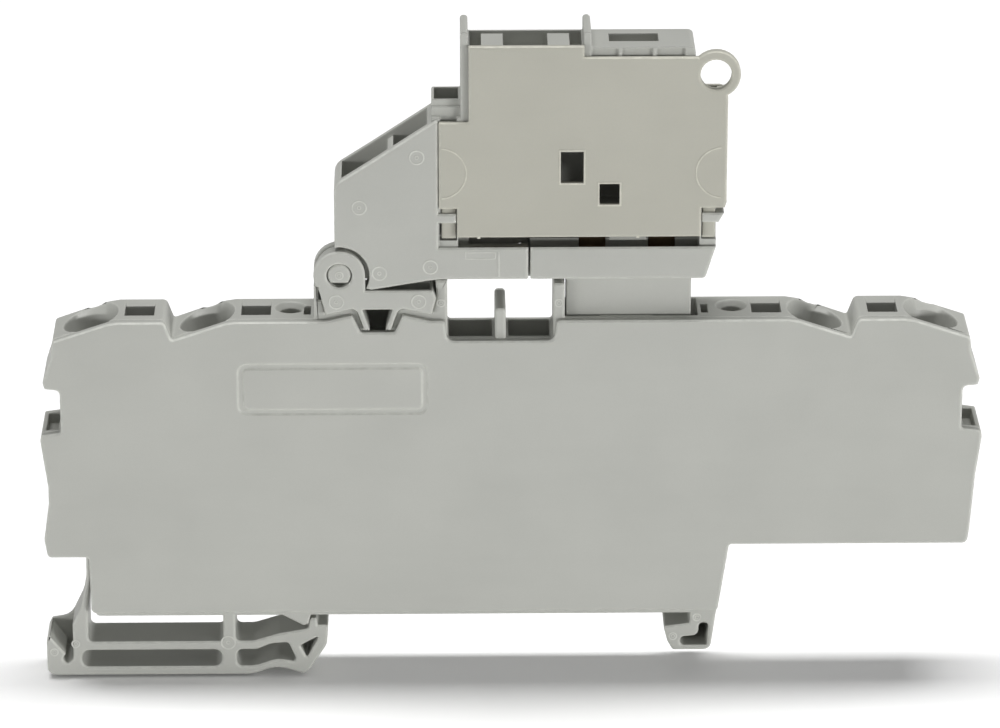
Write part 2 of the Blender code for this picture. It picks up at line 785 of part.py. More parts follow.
def make_base(finish):
    base = make_base_body()
    cutters = foot_cutters()
    for side in (-1, 1):
        for index in (0, 1):
            cutters += clamp_cutters(side, index)
        hole = across(side, clamp_half(1) - TEST_HOLE_OFFSET)
        levels = (
            (BUSBAR_TOP_Z + BUSBAR_RISE, TEST_HOLE_RADIUS),
            (TOP_Z - TEST_FLARE, TEST_HOLE_RADIUS),
            (TOP_Z + TEST_FLARE, TEST_HOLE_RADIUS + 2 * TEST_FLARE),
        )
        stations = [((hole, TEST_HOLE_Y, z), radius, radius) for z, radius in levels]
        cutters.append(funnel(f"test_{side}", stations))
        start = SLIT_START[side]
        slit = sorted((across(side, start), across(side, start + SLIT_LENGTH)))
        cutters.append(
            block(
                f"slit_{side}",
                (slit[0], METAL_Y - SLIT_WIDTH / 2, TOP_Z - SLIT_DEPTH),
                (slit[1], METAL_Y + SLIT_WIDTH / 2, TOP_Z + 1),
            )
        )
        notch = sorted((across(side, HALF_LENGTH - 0.5), across(side, HALF_LENGTH - 1.65)))
        cutters.append(
            block(
                f"notch_pocket_{side}",
                (notch[0], BASE_FRONT_Y + 0.5, END_NOTCH_LOW - 1.2),
                (notch[1], CAVITY_BACK_Y, END_NOTCH_LOW + 0.5),
            )
        )
    dovetail = rectangle(DOVETAIL_X - 1.1, TOP_Z - 2.6, DOVETAIL_X + 1.1, TOP_Z + 0.9, 0.2)
    cutters.append(prism("dovetail_hollow", dovetail, BASE_FRONT_Y - 1, CAVITY_BACK_Y))
    cutters += channel_cutters()
    cutters += window_cutters()
    cutters += pocket_cutters()
    cutters += [
        prism(f"hole_{i}", circle(x, z, PEG_RADIUS + PEG_CLEARANCE, 20), BASE_FRONT_Y - 1, CAVITY_BACK_Y)
        for i, (x, z) in enumerate(peg_places())
    ]
    seat_back = -HOLDER_Y + bracket_width() + FIT
    cutters.append(prism("seat", bracket_seat(), BASE_FRONT_Y - 1, seat_back))
    return dress(cut(base, cutters), finish)


def channel_cutters():
    """Channels for the busbars and the chamber that the plug's blades swing in."""
    room = BUSBAR_THICKNESS + 0.6
    front = BASE_FRONT_Y - 1
    cutters = []
    for side, blade_x in ((-1, LEFT_BLADE_X), (1, RIGHT_BLADE_X)):
        path = bent(busbar_path(side, jaw_end(side, blade_x)))
        cutters.append(prism(f"channel_{side}", strip(path, room), front, CAVITY_BACK_Y))
    floor = BUSBAR_TOP_Z + BUSBAR_RISE - BUSBAR_THICKNESS - 0.3
    chamber = rectangle(
        PLUG_LEFT_X - 0.8,
        floor,
        PLUG_RIGHT_X + 1.6,
        floor + BUSBAR_THICKNESS + JAW_HEIGHT + 1.0,
        0.3,
    )
    cutters.append(prism("blade_chamber", chamber, front, CAVITY_BACK_Y))
    left = PLUG_LEFT_X - PLUG_CLEARANCE
    right = PLUG_RIGHT_X + PLUG_SWING_ROOM
    pad_front = PLUG_FRONT_Y - PLUG_CLEARANCE
    opening = [
        (left, PLUG_FRONT_Y - PLUG_FRONT_GAP),
        (PLUG_PAD_X[0], PLUG_FRONT_Y - PLUG_FRONT_GAP),
        (PLUG_PAD_X[0], pad_front),
        (PLUG_PAD_X[1], pad_front),
        (PLUG_PAD_X[1], PLUG_FRONT_Y - PLUG_FRONT_GAP),
        (right, PLUG_FRONT_Y - PLUG_FRONT_GAP),
        (right, PLUG_BACK_Y + PLUG_CLEARANCE),
        (left, PLUG_BACK_Y + PLUG_CLEARANCE),
    ]
    cutters.append(prism("plug_opening", opening, floor + JAW_HEIGHT, TOP_Z + 1, "Z"))
    return cutters


def window_cutters():
    """The two jumper bays in the floor of the window."""
    rib_x = (WINDOW_LEFT + WINDOW_RIGHT) / 2
    low = BUSBAR_TOP_Z + BUSBAR_RISE - 0.2
    front = BASE_FRONT_Y + JUMPER_MARGIN
    back = BACK_Y - JUMPER_MARGIN
    rib_foot = RIB_THICKNESS / 2 + 0.25
    spans = (
        (WINDOW_LEFT + 0.1, rib_x - rib_foot),
        (rib_x + rib_foot, WINDOW_RIGHT - 0.3),
    )
    return [
        block(f"jumper_{i}", (left, front, low), (right, back, WINDOW_Z + 0.5))
        for i, (left, right) in enumerate(spans)
    ]


def pocket_cutters():
    """Hollows that keep the walls thin, behind the end plate."""
    wall = 1.0
    bar = BUSBAR_Z - 0.3 - wall
    front = BASE_FRONT_Y - 1
    high_bar = bar + BUSBAR_RISE
    right_end_x = across(1, HALF_LENGTH - 5.0)
    hollows = [
        rectangle(LEFT_SHOULDER_X + 8.0, wall + 0.6, -19.5, bar, 0.4),
        rectangle(-16.4, wall + 0.6, -5.0, high_bar - 2.6, 0.4),
        rectangle(-4.0, wall + 0.6, 8.0, high_bar - 2.6, 0.4),
        rectangle(9.0, wall + 0.6, RIGHT_SHOULDER_X - 6.5, high_bar - 2.6, 0.4),
        rectangle(RIGHT_SHOULDER_X + 2.2, RIGHT_WING_Z + wall, right_end_x, bar, 0.3),
        rectangle(-17.0, high_bar + 4.0, WINDOW_LEFT - 5.5, TOP_Z - 3.6, 0.4),
    ]
    return [prism(f"hollow_{i}", hollow, front, CAVITY_BACK_Y) for i, hollow in enumerate(hollows)]


# Metal parts in the base


def make_busbar(name, side, blade_x, finish):
    """A bar with an upright tab at each clamp."""
    path = bent(busbar_path(side, jaw_end(side, blade_x)))
    half_width = METAL_WIDTH / 2
    bar = prism(name, strip(path, BUSBAR_THICKNESS), METAL_Y - half_width, METAL_Y + half_width)
    tabs = []
    for index in (0, 1):
        half = clamp_half(index)
        x0, x1 = sorted((across(side, half + 0.6), across(side, half - 0.4)))
        outline = rectangle(x0, BUSBAR_Z + 0.2, x1, BUSBAR_TOP_Z + TAB_HEIGHT, 0.3)
        tabs.append(
            prism(f"{name}_tab_{index}", outline, METAL_Y - half_width, METAL_Y + half_width)
        )
    return dress(join(bar, tabs), finish)


def make_spring(name, side, index, finish):
    """A clamp spring: foot on the busbar, back, turn at the top and the slanted clamping leg."""
    half = clamp_half(index)
    base_z = BUSBAR_TOP_Z + FIT + SPRING_THICKNESS / 2
    top_z = BUSBAR_TOP_Z + SPRING_HEIGHT
    corners = [
        (1.3, base_z, 0),
        (6.3, base_z, 0.7),
        (6.5, top_z - 3.0, 3.0),
        (6.3, top_z, 1.2),
        (4.0, top_z, 1.2),
        (0.75, BUSBAR_TOP_Z + 2.7, 0),
    ]
    path = [(across(side, half - inward), z) for inward, z in bent(corners, 5)]
    spring = prism(
        name,
        strip(path, SPRING_THICKNESS),
        METAL_Y - METAL_WIDTH / 2 + 0.2,
        METAL_Y + METAL_WIDTH / 2 - 0.2,
    )
    return dress(spring, finish)


def make_jaw(name, blade_x, finish):
    """A jaw that takes the blade between two sprung leaves, seen along X."""
    base_z = BUSBAR_TOP_Z + BUSBAR_RISE + FIT + JAW_THICKNESS / 2
    grip = BLADE_THICKNESS / 2 + FIT + JAW_THICKNESS / 2
    top = base_z + JAW_HEIGHT
    side = [
        (JAW_BASE_GAP, base_z, 0.5),
        (JAW_BASE_GAP, base_z + JAW_HEIGHT * 0.3, 2.0),
        (grip, base_z + JAW_HEIGHT * 0.8, 1.2),
        (grip + 0.55, top, 0),
    ]
    corners = [(METAL_Y - reach, z, r) for reach, z, r in side[::-1]]
    corners += [(METAL_Y + reach, z, r) for reach, z, r in side]
    outline = strip(bent(corners), JAW_THICKNESS)
    jaw = prism(name, outline, blade_x - JAW_LENGTH / 2, blade_x + JAW_LENGTH / 2, "X")
    return dress(jaw, finish)


# Hinge bracket


def bracket_width():
    return 2 * EAR_THICKNESS + LUG_THICKNESS + 2 * LUG_CLEARANCE


def bracket_corners(grow, top):
    """Outline of the bracket below its ears, let out by grow for the seat."""
    right = BRACKET_RIGHT_X + grow
    left = PIVOT_X - EAR_RADIUS + 0.5 - grow
    mid = DOVETAIL_X
    wing = TOP_Z + 1.25 - grow
    leg = TOP_Z - 0.9 - grow
    return [
        (right - 0.25, top, 0.1),
        (right + 0.05, BRACKET_TOP_Z - 0.75, 0.1),
        (right - 0.35, wing - 0.6, 0.15),
        (mid + 2.3, wing, 0.3),
        (mid + 1.85, wing - 0.3, 0.3),
        (mid + 1.2 + grow, leg, 0.2),
        (mid - 1.2 - grow, leg, 0.2),
        (mid - 1.85, wing - 0.3, 0.3),
        (mid - 2.3, wing, 0.3),
        (left + 0.6, wing - 0.6, 0.15),
        (left + 0.1, BRACKET_TOP_Z - 0.3, 0.1),
        (left + 0.25, top, 0.1),
    ]


def make_bracket(finish):
    """Ears, body and the dovetail that holds it in the base."""
    front = -HOLDER_Y
    back = front + bracket_width()
    body = prism("hinge_bracket", rounded(bracket_corners(0, BRACKET_TOP_Z), 3), front, back)
    neck = rounded(
        [
            (PIVOT_X - EAR_RADIUS, PIVOT_Z),
            (PIVOT_X - EAR_RADIUS + 0.45, BRACKET_TOP_Z + 0.2),
            (PIVOT_X - EAR_RADIUS + 0.75, BRACKET_TOP_Z - 0.8),
            (PIVOT_X + EAR_RADIUS, BRACKET_TOP_Z - 0.8),
            (PIVOT_X + EAR_RADIUS, PIVOT_Z),
        ]
    )
    ears = prism("ears", circle(PIVOT_X, PIVOT_Z, EAR_RADIUS), front, back)
    join(body, [prism("neck", neck, front, back), ears])
    lug_front = front + EAR_THICKNESS
    lug_back = lug_front + LUG_THICKNESS + 2 * LUG_CLEARANCE
    room = EAR_RADIUS + LUG_CLEARANCE
    window = rounded(
        [
            (DOVETAIL_X - 1.43, TOP_Z + 1.15, 0.1),
            (DOVETAIL_X + 1.43, TOP_Z + 1.15, 0.1),
            (DOVETAIL_X + 0.75, TOP_Z - 0.85),
            (DOVETAIL_X + 0.6, TOP_Z - 2.0),
            (DOVETAIL_X - 0.6, TOP_Z - 2.0),
            (DOVETAIL_X - 0.75, TOP_Z - 0.85),
        ]
    )
    post = rectangle(PIVOT_X - 5, PIVOT_Z - 5, ear_post_right() + FIT, EAR_POST_Z + FIT)
    cutters = [
        prism("post_room", post, front - 1, back + 1),
        prism("pin_hole", circle(PIVOT_X, PIVOT_Z, PIN_RADIUS + PIN_CLEARANCE), front - 1, back + 1),
        prism("lug_slot", circle(PIVOT_X, PIVOT_Z, room), lug_front, lug_back),
        prism("lug_way", rectangle(PIVOT_X - 3, PIVOT_Z, PIVOT_X + 3, PIVOT_Z + 3), lug_front, lug_back),
        prism("window", window, front - 1, back + 1),
        block(
            "pocket",
            (
                PIVOT_X + EAR_RADIUS + BRACKET_WALL,
                front + BRACKET_WALL,
                BRACKET_TOP_Z - BRACKET_POCKET_DEPTH,
            ),
            (BRACKET_RIGHT_X - BRACKET_WALL, back - BRACKET_WALL, BRACKET_TOP_Z + 1),
        ),
    ]
    return dress(cut(body, cutters), finish)


# Fuse holder


def holder_arm_corners():
    """The left part of the holder, over its whole width."""
    cover_left = COVER_LEFT_X - FIT
    relief = EAR_RADIUS + HINGE_RELIEF
    bottom = HOLDER_BOTTOM_Z
    start = math.degrees(math.acos((HOLDER_LEFT_X - PIVOT_X) / relief))
    hollow = arc(PIVOT_X, PIVOT_Z, relief, start, -27, 12)
    return [
        (cover_left, BAR_TOP_Z - FIT, 0),
        (cover_left, COVER_SHOULDER_Z + 0.3, 0.2),
        (HOLDER_LEFT_X + ARM_SLANT[0], ARM_SLANT[1], 3.0),
        (HOLDER_LEFT_X, 43.5, 1.3),
        *hollow,
        (SLOPE_END_X, bottom - SLOPE_FALL, 0.15),
        (-7.0, bottom - 0.13, 2.0),
        (-5.8, bottom, 0.5),
        (JOINT_X - JOINT_GAP / 2, bottom, 0.15),
        (JOINT_X - JOINT_GAP / 2, BAR_TOP_Z - FIT, 0.0),
    ]


def make_holder(finish, parent):
    arm = prism("holder_housing", rounded(holder_arm_corners()), -HOLDER_Y, HOLDER_Y)
    left = COVER_LEFT_X - 0.5
    core = [
        (left, BAR_TOP_Z - 0.5),
        (JOINT_X - JOINT_GAP / 2, BAR_TOP_Z - 0.5),
        (JOINT_X - JOINT_GAP / 2, BAR_TOP_Z),
        (COLUMN_RIGHT_X, BAR_TOP_Z),
        (COLUMN_RIGHT_X, COLUMN_TOP_Z, 0.4),
        (COLUMN_LEFT_X, COLUMN_TOP_Z, 0.2),
        (COLUMN_LEFT_X, fuse_low()),
        (fuse_left(), fuse_low()),
        (fuse_left(), fuse_high()),
        (HOLDER_TOP_RIGHT_X, fuse_high(), 0.2),
        (HOLDER_TOP_RIGHT_X, HOLDER_TOP_Z, 0.5),
        (RIGHT_FIN_X + FIN_THICKNESS / 2, HOLDER_TOP_Z, 0.2),
        (RIGHT_FIN_X + FIN_THICKNESS / 2, FIN_Z, 0.3),
        (RIGHT_FIN_X - FIN_THICKNESS / 2, FIN_Z, 0.3),
        (RIGHT_FIN_X - FIN_THICKNESS / 2, HOLDER_TOP_Z, 0.1),
        (COVER_STEP_X - FIT, HOLDER_TOP_Z, 0.1),
        (COVER_STEP_X - FIT, FIN_Z, 0.3),
        (COVER_STEP_X - FIT - FIN_THICKNESS, FIN_Z, 0.3),
        (COVER_STEP_X - FIT - FIN_THICKNESS, SOCKET_TOP_Z, 0.1),
        (SOCKET_LEFT_X, SOCKET_TOP_Z, 0.2),
        (SOCKET_LEFT_X, COVER_SHOULDER_Z, 0.3),
    ]
    parts = [prism("core", rounded(core), -CORE_Y, CORE_Y)]
    parts += strap_pads()
    join(arm, parts + lug_and_pin())
    cut(arm, holder_cutters())
    return dress(arm, finish, (PIVOT_X, 0, PIVOT_Z), parent)


def fuse_left():
    return FUSE_X - FUSE_LENGTH / 2 - FIT


def fuse_low():
    return FUSE_Z - CAP_RADIUS - PRONG_HEIGHT - 2 * FIT


def fuse_high():
    return FUSE_Z + CAP_RADIUS + PRONG_HEIGHT + 2 * FIT


def strap_pads():
    """The straps that lie over the cover's tongues, front and back."""
    pads = []
    spans = ((COVER_LEFT_X - 0.3, COVER_LEFT_X + 1.6), (COLUMN_LEFT_X - 0.2, COVER_RIGHT_X - 0.2))
    for face in (-1, 1):
        for i, (x0, x1) in enumerate(spans):
            low, high = sorted((face * (CORE_Y - 0.02), face * HOLDER_Y))
            outline = rectangle(x0, STRAP_LOW_Z, x1, STRAP_HIGH_Z)
            pads.append(prism(f"strap_{face}_{i}", outline, low, high))
        x0 = tongue_span(1)[1] + 2 * FIT
        near = face * (CORE_Y - 1.2)
        end_x = COVER_RIGHT_X - 0.2
        root = [
            (x0, face * HOLDER_Y),
            (end_x, face * HOLDER_Y),
            (end_x, near),
            (x0 - 0.6, near),
            (x0 - 0.6, face * (CORE_Y - 0.56)),
            (x0, face * (CORE_Y - 0.56)),
        ]
        pads.append(prism(f"strap_root_{face}", root, STRAP_LOW_Z, STRAP_HIGH_Z, "Z"))
    return pads


def lug_and_pin():
    """The lug between the bracket's ears and the pin stubs on its two sides."""
    front = -HOLDER_Y + EAR_THICKNESS + LUG_CLEARANCE
    back = front + LUG_THICKNESS
    relief = EAR_RADIUS + HINGE_RELIEF
    arm = [(PIVOT_X, PIVOT_Z), *arc(PIVOT_X, PIVOT_Z, relief + 0.8, -14, 78, 7)]
    flat = math.degrees(math.asin(PIN_FLAT / PIN_RADIUS))
    pin = arc(PIVOT_X, PIVOT_Z, PIN_RADIUS, -flat, 180 + flat, 20)
    pin_front = -HOLDER_Y + 0.15
    pin_back = -HOLDER_Y + bracket_width() - 0.15
    return [
        prism("lug", circle(PIVOT_X, PIVOT_Z, LUG_RADIUS), front, back),
        prism("lug_arm", arm, front, back),
        prism("pin", pin, pin_front, pin_back),
    ]


def tongue_span(which):
    """Left and right edge of the left (0) or right (1) tongue of the cover."""
    x0 = (COVER_LEFT_X + 0.25, COLUMN_LEFT_X - 0.1)[which]
    return x0, x0 + TONGUE_WIDTH[which]


def holder_cutters():
    slot = BLADE_THICKNESS / 2 + FIT
    riser_left = contact_riser(-1)
    riser_right = contact_riser(1)
    strip_low = BAR_TOP_Z + 0.05
    strip_high = strip_low + STRIP_HEIGHT + 0.1
    front, back = METAL_Y - slot, METAL_Y + slot
    step = COVER_STEP_X - FIT - FIN_THICKNESS
    arm_left = HOLDER_LEFT_X + 0.7
    arm_y = HOLDER_Y - 0.75
    left_slot = [
        (riser_left[0] - FIT, BAR_TOP_Z - 1),
        (LEFT_BLADE_X + BLADE_WIDTH / 2 + FIT, BAR_TOP_Z - 1),
        (LEFT_BLADE_X + BLADE_WIDTH / 2 + FIT, strip_high),
        (riser_left[1] + FIT, strip_high),
        (riser_left[1] + FIT, fuse_high()),
        (riser_left[0] - FIT, fuse_high()),
    ]
    right_slot = [
        (RIGHT_BLADE_X - BLADE_WIDTH / 2 - FIT, BAR_TOP_Z - 1),
        (riser_right[1] + FIT, BAR_TOP_Z - 1),
        (riser_right[1] + FIT, fuse_high() + 1),
        (riser_right[0] - FIT, fuse_high() + 1),
        (riser_right[0] - FIT, strip_high),
        (RIGHT_BLADE_X - BLADE_WIDTH / 2 - FIT, strip_high),
    ]
    cutters = [
        prism("left_slot", left_slot, front, back),
        prism("right_slot", right_slot, front, back),
        prism("window_well", rectangle(*WELL_LOW, WELL_RIGHT_X, fuse_low() - 0.6, 0.2), -HOLDER_Y, 2.1),
        prism("arm_hollow_1", arm_hollow(arm_left, ARM_WALLS[0], 6.0), -arm_y, arm_y),
        prism("arm_hollow_2", arm_hollow(ARM_WALLS[1], ARM_WALLS[2], 8.0), -arm_y, arm_y),
        prism("arm_hollow_3", arm_hollow(arm_left, ARM_WALLS[2], 0.45), -arm_y, arm_y),
        block(
            "test_socket",
            (SOCKET_LEFT_X + 0.25, -SOCKET_Y + 0.5, 46.0),
            (step - 0.2, 1.7, SOCKET_TOP_Z + 1),
        ),
        block(
            "socket_front",
            (SOCKET_LEFT_X - 1, -HOLDER_Y, COVER_SHOULDER_Z + 1.15),
            (step, -SOCKET_Y + 0.3, SOCKET_TOP_Z + 1),
        ),
    ]
    for face in (-1, 1):
        low, high = sorted((face * SOCKET_Y, face * (HOLDER_Y + 1)))
        cutters.append(
            block(
                f"step_{face}",
                (SOCKET_LEFT_X - 2, low, COVER_SHOULDER_Z + 0.3),
                (step, high, SOCKET_TOP_Z + 1),
            )
        )
    low = HOLDER_TOP_Z - MARKER_DEPTH
    for i, (x0, x1) in enumerate(MARKER_POCKETS):
        cutters.append(
            block(f"marker_{i}", (x0, -CORE_Y + 0.35, low), (x1, CORE_Y - 0.3, FIN_Z + 1))
        )
    cutters.append(
        block(
            "marker_back",
            (MARKER_POCKETS[0][0], CORE_Y - 1.1, HOLDER_TOP_Z - 0.5),
            (MARKER_POCKETS[-1][1], CORE_Y - 0.3, FIN_Z + 1),
        )
    )
    for i, (x0, x1) in enumerate(FACE_POCKETS):
        cutters.append(
            block(
                f"face_{i}",
                (x0, -HOLDER_Y, COVER_LOW_TOP_Z - 0.4),
                (x1, -CORE_Y + 0.25, HOLDER_TOP_Z - 0.15),
            )
        )
    top_slot_low = (*TOP_SLOT_LOW, HOLDER_TOP_Z - TOP_SLOT_DEPTH)
    cutters.append(block("top_slot", top_slot_low, (*TOP_SLOT_HIGH, HOLDER_TOP_Z + 1)))
    cutters += groove_cutters()
    for face in (-1, 1):
        for which in (0, 1):
            x0, x1 = tongue_span(which)
            low, high = sorted((face * (CORE_Y - 0.55), face * (CORE_Y + 0.03)))
            cutters.append(
                block(
                    f"tongue_{face}_{which}",
                    (x0 - 2 * FIT, low, TONGUE_BOTTOM_Z - 0.15),
                    (x1 + 2 * FIT, high, COVER_TOP_Z + 1),
                )
            )
    x0, x1 = tongue_span(0)
    pocket_low = (x0 - TONGUE_POCKET, -HOLDER_Y, TONGUE_BOTTOM_Z - TONGUE_POCKET)
    pocket_high = (x1 + 2 * FIT, -CORE_Y + TONGUE_POCKET_DEPTH, STRAP_LOW_Z)
    cutters.append(block("tongue_pocket", pocket_low, pocket_high))
    lap_left = JOINT_X - JOINT_GAP / 2 - JOINT_LAP
    lap_low = (lap_left, -HOLDER_Y + JOINT_WALL, HOLDER_BOTTOM_Z - 1)
    cutters.append(block("lap_room", lap_low, (JOINT_X + 1, HOLDER_Y + 1, LAP_TOP_Z + FIT)))
    strap_end = COVER_RIGHT_X - 0.2
    slant = [
        (strap_end - STRAP_SLANT, STRAP_LOW_Z - 0.1),
        (strap_end + 1, STRAP_LOW_Z - 0.1),
        (strap_end + 1, STRAP_HIGH_Z),
        (strap_end, STRAP_HIGH_Z),
    ]
    cutters.append(prism("strap_slant", slant, -HOLDER_Y - 1, HOLDER_Y + 1))
    return cutters


def groove_cutters():
    """The groove under the cover's lower edge, with a lip in front and a boss between the blades."""
    left = COVER_LEFT_X + 1.75
    right = COLUMN_LEFT_X - 0.35
    top = COVER_BOTTOM_Z + 0.9
    slot_front = METAL_Y - BLADE_THICKNESS / 2 - FIT + 0.02
    lip = -HOLDER_Y + GROOVE_LIP
    shallow = -CORE_Y + 0.9
    return [
        block("groove_left", (left, lip, GROOVE_FLOOR_Z), (GROOVE_BOSS[0], slot_front, top)),
        block("groove_right", (GROOVE_BOSS[1], lip, GROOVE_FLOOR_Z), (right, slot_front, top)),
        block("groove_boss", (left, lip, GROOVE_FLOOR_Z), (right, shallow, top)),
        block("groove_face", (left, -HOLDER_Y - 1, BAR_TOP_Z - FIT), (right, shallow, top)),
    ]


def arm_hollow(x0, x1, depth):
    """A hollow between the two slanted walls of the arm, this deep below their edges."""
    return [
        (x0, slant_z(x0) - depth / 2),
        (x0 + 0.4, slant_z(x0) - depth),
        (x1, slant_z(x1) - depth),
        (x1, slant_z(x1) + 2.0),
        (x0, slant_z(x0) + 2.0),
    ]


def slant_z(x):
    """Height of the arm's slanted edge."""
    low_x, low_z = HOLDER_LEFT_X + ARM_SLANT[0], ARM_SLANT[1]
    rise = (COVER_SHOULDER_Z + 0.3 - low_z) / (COVER_LEFT_X - low_x)
    return low_z + (x - low_x) * rise


def make_plug(finish, parent):
    """The bar at the lower right and the plug under it."""
    left = JOINT_X + JOINT_GAP / 2
    bar = [
        (left, HOLDER_BOTTOM_Z, 0.15),
        (COLUMN_LEFT_X + 0.2, HOLDER_BOTTOM_Z, 0.4),
        (COLUMN_RIGHT_X, BAR_TOP_Z - FIT),
        (left, BAR_TOP_Z - FIT),
    ]
    plug = prism("plug_housing", rounded(bar), -HOLDER_Y, HOLDER_Y)
    tip = rectangle(
        PLUG_LEFT_X, TOP_Z - PLUG_DEPTH, PLUG_RIGHT_X, HOLDER_BOTTOM_Z + 0.5, 0.3
    )
    lap = rectangle(left - JOINT_LAP, HOLDER_BOTTOM_Z, left + 0.5, LAP_TOP_Z)
    parts = [
        prism("tip", tip, PLUG_FRONT_Y, PLUG_BACK_Y),
        prism("lap", lap, -HOLDER_Y + JOINT_WALL + JOINT_GAP, HOLDER_Y),
    ]
    join(plug, parts)
    cutters = []
    half = BLADE_WIDTH / 2 + FIT
    slot = BLADE_THICKNESS / 2 + FIT
    for i, x in enumerate((LEFT_BLADE_X, RIGHT_BLADE_X)):
        cutters.append(
            block(
                f"blade_slot_{i}",
                (x - half, METAL_Y - slot, TOP_Z - PLUG_DEPTH - 1),
                (x + half, METAL_Y + slot, BAR_TOP_Z + 1),
            )
        )
    cutters.append(
        block(
            "bar_groove",
            (left - 1, -HOLDER_Y + GROOVE_LIP, GROOVE_FLOOR_Z),
            (COLUMN_LEFT_X - 0.35, METAL_Y - slot + 0.02, BAR_TOP_Z + 1),
        )
    )
    return dress(cut(plug, cutters), finish, (PIVOT_X, 0, PIVOT_Z), parent)


# Fuse and its contacts


def contact_riser(side):
    """Left and right edge of the upright part of a fuse contact."""
    inner = FUSE_X + side * (FUSE_LENGTH / 2 + FIT)
    return tuple(sorted((inner, inner + side * RISER_WIDTH)))


def make_contact(name, side, blade_x, finish, parent):
    """One stamped sheet: prongs above and below the cap, riser, strip and knife blade."""
    riser = contact_riser(side)
    outer = riser[0] if side < 0 else riser[1]
    inner = riser[1] if side < 0 else riser[0]
    prong = inner - side * PRONG_LENGTH
    low = BAR_TOP_Z + 0.1
    high = low + STRIP_HEIGHT
    near = blade_x + side * BLADE_WIDTH / 2
    far = blade_x - side * BLADE_WIDTH / 2
    cap_low = FUSE_Z - CAP_RADIUS - FIT
    cap_high = FUSE_Z + CAP_RADIUS + FIT
    outline = rounded(
        [
            (outer, low, 0.3),
            (near, low, 0.2),
            (near, BLADE_TIP_Z, 0.5),
            (far, BLADE_TIP_Z, 0.5),
            (far, high),
            (inner, high),
            (inner, cap_low - PRONG_HEIGHT, 0.1),
            (prong, cap_low - PRONG_HEIGHT, 0.3),
            (prong, cap_low, 0.2),
            (inner, cap_low),
            (inner, cap_high),
            (prong, cap_high, 0.2),
            (prong, cap_high + PRONG_HEIGHT, 0.3),
            (outer, cap_high + PRONG_HEIGHT, 0.4),
        ]
    )
    half = BLADE_THICKNESS / 2
    contact = prism(name, outline, METAL_Y - half, METAL_Y + half)
    return dress(contact, finish, (PIVOT_X, 0, PIVOT_Z), parent)


def turned(name, profile, x0, finish, parent):
    """A body of revolution about the fuse's axis, from a closed profile (x, radius)."""
    form = bmesh.new()
    rings = []
    for x, radius in profile:
        ring = []
        for y, z in circle(0, 0, radius, ROUND_SIDES):
            ring.append(form.verts.new(Vector((x0 + x, y, FUSE_Z + z)) * MM))
        rings.append(ring)
    for a, ring in enumerate(rings):
        following = rings[(a + 1) % len(rings)]
        for i in range(len(ring)):
            form.faces.new((ring[i - 1], ring[i], following[i], following[i - 1]))
    return dress(finish_mesh(name, form), finish, (PIVOT_X, 0, PIVOT_Z), parent)


def make_fuse(finishes, parent):
    half = FUSE_LENGTH / 2
    end = 0.4
    inner = CAP_RADIUS - CAP_WALL
    for name, side in (("fuse_cap_left", -1), ("fuse_cap_right", 1)):
        cap = prism_x(name, CAP_RADIUS, FUSE_X + side * half, FUSE_X + side * (half - CAP_LENGTH))
        bore = prism_x(
            name + "_bore", inner, FUSE_X + side * (half - end), FUSE_X + side * (half - CAP_LENGTH - 1)
        )
        dress(cut(cap, [bore]), finishes["cap"], (PIVOT_X, 0, PIVOT_Z), parent)
    reach = half - end - FIT
    outer = inner - FIT
    bore = outer - TUBE_WALL
    profile = [(-reach, outer), (reach, outer), (reach, bore), (-reach, bore)]
    turned("fuse_glass_tube", profile, FUSE_X, finishes["glass"], parent)
    wire = prism_x("fuse_wire", WIRE_RADIUS, FUSE_X - reach, FUSE_X + reach, 8)
    dress(wire, finishes["wire"], (PIVOT_X, 0, PIVOT_Z), parent)


def prism_x(name, radius, x0, x1, sides=ROUND_SIDES):
    """A round bar along the fuse's axis."""
    low, high = sorted((x0, x1))
    return prism(name, circle(0, FUSE_Z, radius, sides), low, high, "X")


# Cover


def cover_outline(with_ring):
    """The side wall of the cover; the front one runs into the ring."""
    straps = STRAP_HIGH_Z + STRAP_GAP
    left_inner = COVER_LEFT_X + 1.65
    right_inner = COLUMN_LEFT_X - 0.25
    back_top = COVER_LOW_TOP_Z - 0.3
    top = [
        (COVER_RIGHT_X, END_WALL_TOP_Z, 0.5),
        (HOLDER_TOP_RIGHT_X - 0.2, END_WALL_TOP_Z, 0.3),
        (HOLDER_TOP_RIGHT_X - 0.2, back_top, 0.3),
        (COVER_STEP_X, back_top, 0.1),
    ]
    if with_ring:
        top = [
            (COVER_RIGHT_X, RING_Z - 2.1, 0.6),
            (RING_X, RING_Z),
            (RING_X - 1.62, COVER_LOW_TOP_Z),
            (COVER_STEP_TOP_X, COVER_LOW_TOP_Z, 0.1),
            (COVER_STEP_TOP_X, COVER_TOP_Z, 0.1),
            (COVER_STEP_X, COVER_TOP_Z, 0.1),
        ]
    return rounded(
        [
            (left_inner, COVER_BOTTOM_Z),
            (right_inner, COVER_BOTTOM_Z),
            (right_inner, straps),
            (COVER_RIGHT_X - 0.15, straps, 0.1),
            (COVER_RIGHT_X, straps + 0.6, 0.3),
            *top,
            (COVER_STEP_X, COVER_SHOULDER_Z, 0.15),
            (COVER_LEFT_X, COVER_SHOULDER_Z, 0.15),
            (COVER_LEFT_X, straps),
            (left_inner, straps),
        ]
    )


